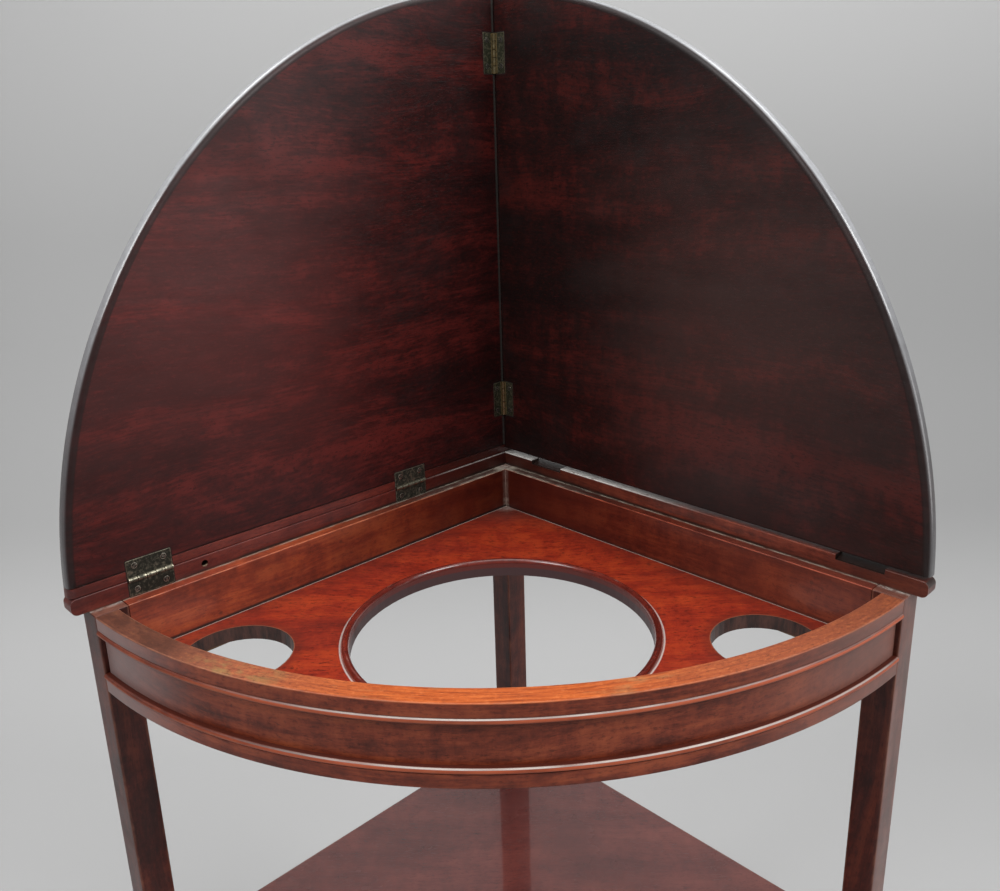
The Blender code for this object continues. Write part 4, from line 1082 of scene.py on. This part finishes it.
# %% Distances on the board
BOWL_PLACE = BOW_RADIUS * 0.4457
BOWL_RADIUS = 0.12
DISH_RADIUS = 0.042
DISH_NEAR = RAIL_INSIDE + 0.0155 + DISH_RADIUS
DISH_REACH = inner - 0.0126 - DISH_RADIUS
DISH_FAR = math.sqrt(DISH_REACH ** 2 - DISH_NEAR ** 2)


def distance_to(g, left, right):
    """Level distance in metres from the place being shaded to a point of the board."""
    x, y, _ = at_walls(left, right, 0.0)
    place = g.separate(g.place())
    return g.length(g.minus(place[0], float(x)), g.minus(place[1], float(y)))


def distance_to_wall(g, direction, start):
    """Distance in from a back rail's face, measured along the other wall's direction."""
    place = g.separate(g.place())
    x, y = (float(v) for v in direction[:2])
    offset = float(FLOOR_CORNER[:2] @ direction[:2]) + start
    return g.minus(g.plus(g.times(place[0], x), g.times(place[1], y)), offset)


print("dish holes", round(DISH_FAR, 4), "along one wall and", round(DISH_NEAR, 4), "along the other")

# %% [markdown]
# The grain runs from side to side. Painted shade and old wax lie along the joints with the
# rails, and the board is darker towards the corner. The small holes have painted shade round
# them and rubbed edges painted paler as a highlight, a painted highlight lies beside the bowl's
# rim at its sides, and there is a round stain left of the bowl. Each is a distance that is
# turned into a soft-edged mask. The small holes' walls are sawn and left bare.

# %% Marks on the board
STAIN = (0.262, 0.112)


def board_marks(g, colour):
    """Painted shade along the joints and round the small holes, worn hole edges painted paler as a highlight,
    a painted highlight by the bowl's rim, dark hole walls and a stain.
    """
    holes = [(distance_to(g, BOWL_PLACE, BOWL_PLACE), BOWL_RADIUS)]
    holes += [(distance_to(g, *spot), DISH_RADIUS) for spot in ((DISH_FAR, DISH_NEAR), (DISH_NEAR, DISH_FAR))]
    corner = distance_to(g, RAIL_INSIDE, RAIL_INSIDE)
    knot = g.step(g.noise(g.place(), 260.0, detail=3), 0.35, 0.6, 0.4, 1)
    sideways, _, height = g.separate(g.place())
    # A painted highlight on the board beside the bowl's rim, strongest at its sides.
    rim = g.times(g.step(g.apart(holes[0][0], BOWL_RADIUS + 0.007), 0.001, 0.0004),
                  g.step(g.math("ABSOLUTE", sideways), 0.06, 0.105, 0.15, 0.75))
    colour = g.lay(colour, (g.step(corner, 0.055, 0.015, 0, 0.65), (0.075, 0.026, 0.02)),
                   (g.times(knot, g.step(corner, 0.018, 0.007, 0, 0.95)), (0.4, 0.34, 0.3)),
                   (rim, (0.56, 0.5, 0.47)))
    for distance, radius in holes[1:]:
        # Painted shade round each small hole, and its edge rubbed and painted paler as a highlight.
        shade = g.step(distance, radius + 0.012, radius + 0.001, 0, 0.45)
        worn = g.step(distance, radius + 0.0009, radius + 0.0003, 0, 0.6)
        colour = g.lay(colour, (shade, (0.085, 0.012, 0.006)), (worn, (0.36, 0.16, 0.09)))
    stain = distance_to(g, *STAIN)
    ring = g.times(g.step(stain, 0.012, 0.008), g.step(stain, 0.003, 0.009, 0.35, 1), 0.55)
    colour = g.blend(ring, colour, (0.045, 0.01, 0.006))
    for direction in (LEFTWARD, RIGHTWARD):
        wall = distance_to_wall(g, direction, RAIL_INSIDE)
        # Painted shade along each rail's face, and a pale line of old wax in the joint.
        colour = g.lay(colour, (g.step(wall, 0.03, 0.0, 0, 0.35), (0.085, 0.013, 0.007)),
                       (g.step(wall, 0.0016, 0.0011, 0, 0.85), (0.3, 0.25, 0.22)))
    sawn = g.noise(g.stretch(g.place(), (160, 160, 30)), detail=4, rough=0.7)
    sawn = g.ramp(sawn, (0.35, (0.014, 0.006, 0.005)), (0.65, (0.08, 0.03, 0.021)))
    smooth = g.blend(g.step(height, BOARD_TOP - 0.0048, BOARD_TOP - 0.0034), (0.052, 0.0215, 0.0225),
                     (0.1, 0.014, 0.01))
    for (distance, radius), wall in zip(holes, (smooth, sawn, sawn)):
        colour = g.blend(g.step(distance, radius + 0.0002, radius + 0.0001), colour, wall)
    return colour


print("stain", *STAIN, "along the walls")

# %% [markdown]
# A piece that keeps its mesh only changes its material. Its finish reads the place in the room,
# because such a mesh carries no stored place in the wood.

# %% The board's finish
def dress(node, material):
    """Give a piece of the measured model, which keeps its mesh, a new finish."""
    NODES[node].data.materials.clear()
    NODES[node].data.materials.append(material)


BOARD_WOOD = mahogany(
    "board_wood", (0.12, 0.0095, 0.0045), (0.26, 0.02, 0.007), (0.4, 0.046, 0.011),
    (0.4, 0.12, 0.05), gloss=0.4, figure=(0.26, 0.7), wear=0.0, cloud=0.25, place=Recipe.place,
    shift=(0.2, 0.5, 0.9), spots=0.4, extra=board_marks, fine=0.34, fleck=0.8, broad=1.6)
dress("basin_board", BOARD_WOOD)
print("board between", round(BOARD_BOTTOM, 4), "and", round(BOARD_TOP, 4))

# %% [markdown]
# A half-round moulding runs round the bowl's hole and keeps spilled water off the bowl's seat.
# It is a profile turned about the hole's axis: a ring, which closes on itself both ways.

# %% Rim of the bowl's hole
RIM_WIDTH = 0.006
RIM_RISE = 0.0034
RIM_WOOD = mahogany(
    "rim_wood", (0.07, 0.009, 0.006), (0.165, 0.018, 0.01), (0.24, 0.034, 0.016),
    (0.6, 0.34, 0.28), gloss=0.2, wear=0.7, cloud=0.2, coat=0.8)
around = np.linspace(0, 2 * math.pi, 160, endpoint=False)[:, None]
dome = np.linspace(0, math.pi, 15)[None, :]
reach = BOWL_RADIUS + RIM_WIDTH / 2 * (1 - np.cos(dome))
rise = BOARD_TOP + SEAM + RIM_RISE * np.sin(dome)
points = at_walls(BOWL_PLACE + reach * np.cos(around), BOWL_PLACE + reach * np.sin(around), rise)
wood = np.stack(np.broadcast_arrays(around * BOWL_RADIUS, points[..., 2], reach), -1)
add_piece("bowl_rim_moulding", points, wood, np.sin(dome) ** 4 * 0.7, RIM_WOOD, nodes=["basin_rim"],
          ring=True, angle=60)
print("rim from radius", BOWL_RADIUS, "to", BOWL_RADIUS + RIM_WIDTH)

# %% [markdown]
# ## The shelf and the frieze below it
# The shelf is a quarter disc, notched round the legs, dark and glossy. Below it the bowed
# frieze has a drawer between two sham fronts. They share one section, with a fine bead along
# the top and the foot. Everything down here lies below the photograph, so it takes the sizes
# that such stands have.

# %% The shelf
SHELF_BOTTOM, SHELF_TOP = levels_of("shelf")
side, near, back = LEG_INSIDE + SEAM, LEG_NEAR - SEAM, RAIL_INSIDE + SEAM
start = math.asin(side / BOW_RADIUS)
arc = arc_run((0, 0), BOW_RADIUS, start, math.pi / 2 - start, ARC_STEPS)
arc_end = (side, math.sqrt(BOW_RADIUS ** 2 - side ** 2))
path = [(back, back), (back, -LEAF), (near, -LEAF), (near, side), arc[0]]
other = [arc_end, (side, near), (-LEAF, near), (-LEAF, back), (back, back)]
runs = [(run(a, b), 0.001) for a, b in zip(path, path[1:])] + [(arc, 0.0022)]
runs += [(run(a, b), 0.001) for a, b in zip(other, other[1:])]
outline, radii = join(*runs)
rows, edge = board_rows(outline, radii, SHELF_BOTTOM, SHELF_TOP, steps=5)
SHELF_WOOD = mahogany(
    "shelf_wood", (0.085, 0.018, 0.0155), (0.132, 0.029, 0.0235), (0.18, 0.044, 0.033),
    (0.24, 0.1, 0.06), gloss=0.16, figure=(0.3, 0.72), wear=0.5, coat=1.0, coat_gloss=0.05,
    shift=(0.9, 4.2, 0.3), ripple=0.0004, broad=1.5)
points = at_walls(rows[..., 0], rows[..., 1], rows[..., 2])
add_piece("lower_shelf", points, points, edge, SHELF_WOOD, slot="dark_mahogany", nodes=["shelf"])
print("shelf between", round(SHELF_BOTTOM, 4), "and", round(SHELF_TOP, 4))

# %% [markdown]
# The three fronts are one profile along the bow, cut by planes: the sham fronts end against the
# legs and the drawer's sides, and the drawer's front ends a little inside those same planes, so
# that it can slide. Angles that depend on the radius give straight, parallel ends.

# %% The three fronts
FRONT_RADIUS = BOW_RADIUS - 0.0025
FRONT_THICKNESS = 0.016
DRAWER_WIDTH = 0.21
RUNNING = 0.0008
COCK_WIDTH, COCK_RISE = 0.0022, 0.0011


def front_profile(low, high):
    """Section of a front: a flat face between two fine half-round beads."""
    t = np.linspace(0, math.pi, 9)
    bead = np.stack([FRONT_RADIUS + COCK_RISE * np.sin(t), COCK_WIDTH * (1 - np.cos(t)) / 2], -1)
    lower = bead + (0, low)
    upper = (bead * (1, -1) + (0, high))[::-1]
    inside, back = COCK_WIDTH + 0.002, FRONT_RADIUS - FRONT_THICKNESS
    face = [[FRONT_RADIUS, low + inside], [FRONT_RADIUS, high - inside]]
    profile = np.concatenate([[[back, low]], lower, face, upper, [[back, high]]])
    weight = np.concatenate([[0], np.sin(t), [0, 0], np.sin(t), [0]])
    return profile, weight


def angle_at_side(clearance):
    """Angle to a plane beside the drawer, at each radius."""
    return lambda radius: np.arcsin((DRAWER_WIDTH / 2 - clearance) / radius)


FRIEZE_WOOD = mahogany(
    "frieze_wood", (0.04, 0.0085, 0.006), (0.115, 0.022, 0.011), (0.2, 0.048, 0.02),
    (0.42, 0.16, 0.075), gloss=0.27, figure=(0.3, 0.66), wear=0.6, cloud=0.3, shift=(6.3, 0.2, 1.5))
profile, weight = front_profile(*levels_of("left_sham_front"))
sham_end, drawer_end = angle_at_side(0), angle_at_side(RUNNING)
points, wood = along_bow(profile, last=lambda r: -sham_end(r), steps=40)
add_piece("left_sham_drawer_front", points, wood, weight, FRIEZE_WOOD, nodes=["left_sham_front"])
points, wood = along_bow(profile, first=sham_end, steps=40)
add_piece("right_sham_drawer_front", points, wood, weight, FRIEZE_WOOD, nodes=["right_sham_front"])
drawer_low, drawer_high = levels_of("drawer_front")
profile, weight = front_profile(drawer_low, drawer_high)
points, wood = along_bow(profile, lambda r: -drawer_end(r), drawer_end, 40)
wood[..., 0] += 0.4         # a length of the board between the two sham fronts' grain
add_piece("bowed_drawer_front", points, wood, weight, FRIEZE_WOOD, body="drawer", nodes=["drawer_front"])
print("drawer front", round(DRAWER_WIDTH - 2 * RUNNING, 4), "wide and",
      round(drawer_high - drawer_low, 4), "high")

# %% [markdown]
# The knobs are turned brass. A turned piece is a profile spun about its axis: here the rows
# are rings, and each ring's radius and distance from the wood come from the profile.

# %% Turned shapes
def turned(profile, origin, axis, side, steps=48):
    """Spin a profile of (radius, distance) about an axis: origin + axis*d + radius*(cos, sin)."""
    axis, side = np.asarray(axis, float), np.asarray(side, float)
    across = np.cross(axis, side)
    angle = np.linspace(0, 2 * math.pi, steps, endpoint=False)[None, :, None]
    radius, distance = profile[:, 0][:, None, None], profile[:, 1][:, None, None]
    return origin + axis * distance + radius * (np.cos(angle) * side + np.sin(angle) * across)


def smooth_profile(points, steps=6):
    """A soft curve through the points: each span is a cubic that leaves along its neighbours' line."""
    points = np.asarray(points, float)
    tangent = np.gradient(points, axis=0)
    t = np.linspace(0, 1, steps, endpoint=False)[:, None]
    shares = (2 * t**3 - 3 * t**2 + 1, t**3 - 2 * t**2 + t, 3 * t**2 - 2 * t**3, t**3 - t**2)
    spans = [sum(share * part for share, part in zip(shares, span))
             for span in zip(points, tangent, points[1:], tangent[1:])]
    return np.concatenate(spans + [points[-1:]])


print("a profile of 2 points becomes", len(smooth_profile([(0, 0), (0, 1)])), "points")

# %% [markdown]
# Brass that nobody polishes grows a dark olive skin. Fingers rub it through on raised places,
# so the edge weight is added to a mottled noise before the step that decides between skin and
# metal. The skin is rough and dull, the bare metal smoother and brighter.

# %% Old brass
def old_brass(name, dark, bright, cover, barrel=None, rubbed=0.28):
    """Tarnished brass: dark olive skin that is rubbed through to the metal on raised places."""
    g = Recipe(name)
    place = g.place()
    skin = g.noise(place, 420.0, detail=4, rough=0.65)
    broad = g.noise(place, 90.0, detail=2)
    rub = g.plus(g.times(skin, 0.55), g.times(broad, 0.25), g.times(g.value("edge"), rubbed))
    rub = g.step(rub, *cover)
    colour = g.blend(rub, dark, bright)
    if barrel:
        near_pin = g.times(g.step(g.wood()[1], 0.0042, 0.0034), g.step(skin, 0.36, 0.62, 0.45, 0.95))
        colour = g.blend(near_pin, colour, barrel)
    spots = g.step(g.noise(place, 900.0, detail=2), 0.62, 0.72, 0, 0.5)
    colour = g.blend(spots, colour, (0.02, 0.026, 0.016))
    return g.finish(colour, g.step(rub, 0, 1, 0.6, 0.28), metallic=g.step(rub, 0, 1, 0.75, 1.0),
                    normal=g.bump(skin, 0.00008, 0.5))


KNOB_BRASS = old_brass("knob_brass_finish", (0.12, 0.08, 0.03), (0.52, 0.34, 0.11), (0.2, 0.5))
print("finish of the knobs:", KNOB_BRASS.name)

# %% [markdown]
# A knob's profile has a flat foot against the wood, a thin neck and a round head. Each knob
# points out from the corner's upright line, so its axis comes from its own place.

# %% The three knobs
knob_profile = smooth_profile([
    (0.0003, 0), (0.0068, 0.0), (0.0075, 0.0006), (0.0075, 0.0019), (0.0055, 0.0032), (0.0034, 0.0048),
    (0.0033, 0.0074), (0.0052, 0.0102), (0.0081, 0.0127), (0.0085, 0.0149), (0.0068, 0.0171),
    (0.0036, 0.0182), (0.0006, 0.0186)])
weight = np.clip((knob_profile[:, 1] - 0.01) / 0.006, 0, 1)[:, None]
for node, body in (("left_sham_knob", "stand"), ("drawer_knob", "drawer"), ("right_sham_knob", "stand")):
    middle = np.mean(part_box(node), axis=0)
    axis_foot = np.array([*CORNER[:2], middle[2]])
    outward = (middle - axis_foot) / np.linalg.norm(middle - axis_foot)
    points = turned(knob_profile, axis_foot + outward * (FRONT_RADIUS + SEAM), outward, (0, 0, 1))
    add_piece(node + "_turning", points, points, weight, KNOB_BRASS, body=body, slot="knob_brass",
              nodes=[node], angle=60)
print("three knobs,", knob_profile[-1, 1], "long")

# %% [markdown]
# ## Hinges
# Four small butt hinges, each of two plates and a pin. A plate is a thin board with softened
# corners, let into the wood. Its knuckles are short rolls about the pin, taken in turn by one
# plate and the other, and a plate is held by countersunk screws. Each hinge has its own frame:
# along the pin, across the plate, and out of the wood.

# %% Brass and sizes of the hinges
HINGE_BRASS = old_brass("hinge_brass_finish", (0.028, 0.028, 0.021), (0.3, 0.275, 0.205),
                        (0.365, 0.65), rubbed=0.19)
SEAM_BRASS = old_brass("seam_hinge_brass_finish", (0.036, 0.038, 0.022), (0.33, 0.295, 0.2),
                       (0.375, 0.62), barrel=(0.23, 0.17, 0.08), rubbed=0.42)
SCREW_STEEL = old_brass("screw_finish", (0.034, 0.034, 0.028), (0.48, 0.45, 0.37), (0.4, 0.6))
POCKET_SHADE = Recipe("pocket_shadow").finish((0.006, 0.004, 0.003, 1), 0.9)
HINGE_LENGTH = 0.036
PLATE_WIDTH = 0.0135
LEAF_PLATE_WIDTH = 0.016
KNUCKLE_RADIUS = 0.0022
END_RADIUS = 0.0018         # of a knuckle's end face
KNUCKLE_GAP = 0.00015       # from a knuckle's end to where the next one's share begins
KNUCKLES = 5
PROUD = 0.00025
FOLDED_PROUD = 0.0001       # the seam hinges' plates lie face to face when the top is folded
SCREW_PLACES = (0.0065, 0.0085)     # from the plate's end, from the pin
print("hinge plates", HINGE_LENGTH, "long and", PLATE_WIDTH, "wide")

# %% [markdown]
# The plate's pocket is a dark board of painted shade, a little larger than the plate and just
# proud of the wood, so that it shows as a thin dark line round the brass. The knuckles are rings
# about the pin, with their ends drawn in, and every other one belongs to the other plate.

# %% A plate with its knuckles
def in_hinge(origin, pin, across, out):
    """A function that turns hinge places (along the pin, across, out) into world places."""
    axes = np.array([pin, across, out], float)
    return lambda places: origin + np.asarray(places, float) @ axes


def hinge_plate(name, to_world, first, node, body="stand", level=-SEAM, wide=PLATE_WIDTH,
                brass=HINGE_BRASS, proud=PROUD):
    """One plate with its knuckles and screws; first says whether it holds the end knuckles."""
    brassware = dict(body=body, slot="aged_brass")

    def plate(word, room, foot, round_by, rim, low, high, material, **kind):
        reach = HINGE_LENGTH / 2 + room
        corners = [(-reach, foot), (reach, foot), (reach, wide + room), (-reach, wide + room)]
        outline, _ = soften(corners, round_by, fade=0.001)
        add_board(name + word, outline, rim, level + low, level + high, to_world, material,
                  **kind, **brassware)
    plate("_pocket_shade", 0.0005, 0, 0.0012, 0.00002, -0.0006, 0.00004, POCKET_SHADE, steps=1, fade=0.0002, worn=0)
    plate("_leaf", 0, 0.0006, 0.001, 0.00025, -0.0005, proud, brass, steps=2, fade=0.0006, worn=0.8,
          nodes=[node])
    half, step = HINGE_LENGTH / 2, HINGE_LENGTH / KNUCKLES
    near = np.array([KNUCKLE_GAP, 0.00035, 0.0015])
    ends = np.concatenate([near, step - near[::-1]])[:, None]
    radii = np.array([END_RADIUS] + [KNUCKLE_RADIUS] * 4 + [END_RADIUS])[:, None]
    angle = np.linspace(0, 2 * math.pi, 28, endpoint=False)
    weight = np.array([1, 1, 0.5, 0.5, 1, 1])[:, None]
    for index in range(0 if first else 1, KNUCKLES, 2):
        along, across, out = np.broadcast_arrays(index * step - half + ends, radii * np.cos(angle),
                                                 radii * np.sin(angle))
        rows = np.stack([along, across, out], -1)
        add_piece(f"{name}_knuckle_{index + 1}", to_world(rows), rows, weight, brass, **brassware)
    reach = wide - PLATE_WIDTH + SCREW_PLACES[1]
    for number, along in enumerate((SCREW_PLACES[0] - half, half - SCREW_PLACES[0])):
        turn = 0.6 + 1.9 * number + first       # no two slots of a hinge point the same way
        rise = 0.56 * proud + 0.00008           # flatter heads where the plates lie face to face
        add_screw(f"{name}_screw_{number + 1}", to_world, (along, reach), turn, level + proud, rise,
                  brassware)


print("knuckles", round(HINGE_LENGTH / KNUCKLES, 4), "long")

# %% [markdown]
# A screw's head is a shallow dome cut by a slot. Instead of cutting, the head is made as two
# half moons that leave the slot free between them: each is a board whose outline is an arc and
# the straight side of the slot.

# %% Slotted screws
SCREW_RADIUS = 0.0024
SLOT = 0.0005


def add_screw(name, to_world, place, turn, level, rise, brassware):
    """Two half-moon boards beside a slot, over a dark disc of painted shade that is the slot's floor."""
    start = math.asin(SLOT / 2 / SCREW_RADIUS)
    arc = arc_run((0, 0), SCREW_RADIUS, start, math.pi - start, 16)
    outline = np.concatenate([arc, [(-math.cos(start) * SCREW_RADIUS, SLOT / 2)]])
    for half, sign in (("upper", 0.0), ("lower", math.pi)):
        rows, edge = board_rows(outline, rise, level - 0.0004, level + rise, steps=2, fade=0.0003)
        cos, sin = math.cos(turn + sign), math.sin(turn + sign)
        x = rows[..., 0] * cos - rows[..., 1] * sin + place[0]
        y = rows[..., 0] * sin + rows[..., 1] * cos + place[1]
        rows = np.stack([x, y, rows[..., 2]], -1)
        add_piece(f"{name}_{half}", to_world(rows), rows, edge, SCREW_STEEL, **brassware)
    angle = np.linspace(0, 2 * math.pi, 28, endpoint=False)
    disc = SCREW_RADIUS * 1.12 * np.stack([np.cos(angle), np.sin(angle)], -1) + place
    add_board(name + "_slot_shade", disc, 0.00002, level - 0.0005, level + 0.00003, to_world, POCKET_SHADE,
              steps=1, fade=0.0002, worn=0, **brassware)


print("screw heads", 2 * SCREW_RADIUS, "across")

# %% [markdown]
# Each hinge is set by where its pin's middle lies, as a share of the leaf's reach. On the
# strip hinges the pin runs along the wall, on the seam hinges it stands upright. The plate on
# the right leaf rides with that leaf, and so do its knuckles and screws.

# %% The four hinges
STRIP_SHARES = {"inner": 0.2854, "outer": 0.8629}
SEAM_SHARES = {"lower": 0.1326, "upper": 0.8809}
UP = np.array([0.0, 0.0, 1.0])
for word, share in STRIP_SHARES.items():
    origin, name = at_walls(LEAF_REACH * share, 0.0, HINGE_LEVEL), word + "_strip_hinge"
    hinge_plate(name + "_upper", in_hinge(origin, -LEFTWARD, UP, RIGHTWARD), False, name + "_leaf_plate",
                wide=LEAF_PLATE_WIDTH)
    hinge_plate(name + "_lower", in_hinge(origin, LEFTWARD, -UP, RIGHTWARD), True, name + "_strip_plate",
                level=0)
for word, share in SEAM_SHARES.items():
    origin, name = at_walls(0.0, 0.0, HINGE_LEVEL + LEAF_REACH * share), word + "_seam_hinge"
    hinge_plate(name + "_fixed", in_hinge(origin, UP, LEFTWARD, RIGHTWARD), True, name + "_left_plate",
                brass=SEAM_BRASS, proud=FOLDED_PROUD)
    hinge_plate(name + "_swung", in_hinge(origin, -UP, RIGHTWARD, LEFTWARD), False, name + "_right_plate",
                body="right_leaf", brass=SEAM_BRASS, proud=FOLDED_PROUD)
for word in ("inner_strip", "outer_strip", "lower_seam", "upper_seam"):
    dress(word + "_hinge_pin", HINGE_BRASS)
print("four hinges with", KNUCKLES, "knuckles each")

# %% [markdown]
# ## What keeps the model's own mesh
# Plain bars and boards of the carcase already have the right shape. Their finishes read the
# place in the room instead of a stored value, turned so that the grain runs along each piece:
# the Mapping node turns the pattern, not the piece.

# %% Mahogany of the lower pieces
def turned_place(turn):
    """The place in the room, turned about the upright so that its first part runs along a piece."""
    return lambda g: g.stretch(g.place(), (1, 1, 1), turn=(0, 0, turn))


ALONG_LEFT, ALONG_RIGHT = math.radians(-45), math.radians(45)
LOWER = dict(dark=(0.034, 0.008, 0.006), warm=(0.095, 0.019, 0.011),
             bright=(0.16, 0.038, 0.018), worn=(0.3, 0.12, 0.07), gloss=0.32, wear=0.0, coat=0.25)
LEFT_LOWER = mahogany("lower_left_wood", place=turned_place(ALONG_LEFT), **LOWER)
RIGHT_LOWER = mahogany("lower_right_wood", place=turned_place(ALONG_RIGHT), shift=(0.4, 0.1, 0.3), **LOWER)
LEVEL_LOWER = mahogany("lower_level_wood", place=Recipe.place, shift=(0.2, 0.7, 0.3), **LOWER)
print("finishes below:", LEFT_LOWER.name, RIGHT_LOWER.name, LEVEL_LOWER.name)

# %% [markdown]
# The drawer's inside, its runners and guides, and the bearers below the board are oak that was
# never polished. Its grain is coarser than mahogany's, and age darkened it in patches.

# %% Bare oak
def bare_oak(name, turn):
    """Oak that was never polished: pale brown, with coarse dark grain and a dry surface."""
    g = Recipe(name)
    wood = turned_place(turn)(g)
    grain = g.noise(g.stretch(wood, (8, 160, 160)), detail=5, rough=0.6, bend=0.3)
    lines = g.step(g.noise(g.stretch(wood, (40, 1200, 1200)), detail=2), 0.56, 0.7)
    age = g.step(g.noise(wood, 9.0, detail=3), 0.35, 0.75)
    colour = g.ramp(grain, (0.3, (0.13, 0.068, 0.03)), (0.55, (0.235, 0.135, 0.064)),
                    (0.78, (0.33, 0.205, 0.105)))
    colour = g.lay(colour, (g.times(lines, 0.5), (0.07, 0.036, 0.018)),
                   (g.times(age, 0.4), (0.1, 0.055, 0.028)))
    return g.finish(colour, g.step(age, 0, 1, 0.55, 0.78), normal=g.bump(g.minus(grain, lines), 0.0003, 0.5))


OAK_X, OAK_Y = bare_oak("oak_across", 0), bare_oak("oak_front_to_back", math.radians(90))
OAK_LEFT, OAK_RIGHT = bare_oak("oak_along_left", ALONG_LEFT), bare_oak("oak_along_right", ALONG_RIGHT)
print("oak in", len((OAK_X, OAK_Y, OAK_LEFT, OAK_RIGHT)), "directions")

# %% [markdown]
# A table says which measured piece wears which finish. Each is turned so that its grain runs
# along the piece, and pieces that lie alike share one.

# %% Dress the measured pieces
DRESSED = {
    LEFT_LOWER: ["left_lower_rail"], RIGHT_LOWER: ["right_lower_rail"],
    LEVEL_LOWER: ["drawer_rail", "stretcher"],
    OAK_X: ["drawer_bottom", "drawer_back", "drawer_stop", "bow_board_bearer"],
    OAK_Y: ["drawer_left_side", "drawer_right_side", "left_drawer_runner", "right_drawer_runner",
            "left_drawer_guide", "right_drawer_guide"],
    OAK_LEFT: ["left_board_bearer"], OAK_RIGHT: ["right_board_bearer"],
}
for material, names in DRESSED.items():
    for name in names:
        dress(name, material)
print("dressed", sum(len(names) for names in DRESSED.values()), "measured pieces")

# %% [markdown]
# ## Studio
# The stand was photographed in front of a plain pale sheet that curves up behind it. The sheet
# is one surface: a floor, a quarter turn and a wall, swept sideways. Its colour alone makes the
# background pale; the lamps stay at a level that suits the wood. That colour holds painted light:
# darker low in the turn than on the floor and up the wall, and paler to the left.

# %% Backdrop
SHEET_WIDTH, SHEET_BACK, SHEET_FRONT, SHEET_CURVE, SHEET_HEIGHT = 9.0, 1.7, -3.0, 0.9, 4.5
angle = np.linspace(0, math.pi / 2, 24)
turn = [SHEET_BACK - SHEET_CURVE + SHEET_CURVE * np.sin(angle), SHEET_CURVE * (1 - np.cos(angle))]
profile = np.concatenate([[[SHEET_FRONT, 0]], np.stack(turn, -1), [[SHEET_BACK, SHEET_HEIGHT]]])
across = np.linspace(-SHEET_WIDTH / 2, SHEET_WIDTH / 2, 3)[:, None]
points = np.stack(np.broadcast_arrays(across, profile[:, 0], profile[:, 1]), -1)
count = len(profile)
faces = [(r * count + c, (r + 1) * count + c, (r + 1) * count + c + 1, r * count + c + 1)
         for r in range(2) for c in range(count - 1)]
mesh = bpy.data.meshes.new("backdrop")
mesh.from_pydata(points.reshape(-1, 3).tolist(), [], faces)
mesh.shade_smooth()
g = Recipe("backdrop_paper")
side, _, rise = g.separate(g.place())
# Painted light: the sheet is paler to the left below 1.5 m, and darker low in the turn than on the floor and
# up the wall.
shade = g.times(g.step(side, -0.3, -1.2, 0, 0.08), g.step(rise, 1.5, 0.7))
paper = g.plus(g.step(rise, 0.0, 0.26, 0.47, 0.33), g.step(rise, 0.6, 1.5, 0.0, 0.13), shade)
mesh.materials.append(g.finish(paper, 0.9, specular=0.1))
backdrop = bpy.data.objects.new("backdrop", mesh)
bpy.context.scene.collection.objects.link(backdrop)
print("sheet", SHEET_WIDTH, "m wide and", SHEET_HEIGHT, "m high")

# %% [markdown]
# Two large soft lamps stand left and right above the camera and a weaker one hangs over the
# top. Two small ones behind give the leaves' curved edges their pale line, and a low one on
# the right puts a sheen on the leg. A lamp shines along its own -Z, so that axis is turned
# towards the stand.

# %% Lamps and world
TARGET = Vector((0, 0, 0.85))
LAMPS = [("left_lamp", (-1.6, -1.6, 2.9), 1.4, 50), ("right_lamp", (1.9, -1.2, 2.7), 1.4, 50),
         ("top_lamp", (0.0, -0.3, 2.9), 1.8, 17), ("left_edge_lamp", (-1.0, 0.65, 2.7), 0.9, 11),
         ("right_edge_lamp", (1.0, 0.65, 2.7), 0.9, 11), ("right_sheen", (2.3, -0.5, 0.95), 1.2, 9)]
for name, place, size, power in LAMPS:
    data = bpy.data.lights.new(name, "AREA")
    data.shape, data.size, data.energy = "DISK", size, power
    lamp = bpy.data.objects.new(name, data)
    bpy.context.scene.collection.objects.link(lamp)
    aim = (TARGET - Vector(place)).to_track_quat("-Z", "Y").to_matrix().to_4x4()
    lamp.matrix_world = Matrix.Translation(place) @ aim
world = bpy.data.worlds.new("studio")
bpy.context.scene.world = world
world.use_nodes = True
sky = world.node_tree.nodes["Background"].inputs
sky["Color"].default_value, sky["Strength"].default_value = (1, 1, 1, 1), 0.26
bpy.context.scene.view_settings.view_transform = "Standard"
print(len(LAMPS), "lamps")

# %% [markdown]
# The dressed stand must fill the same space as the measured one.
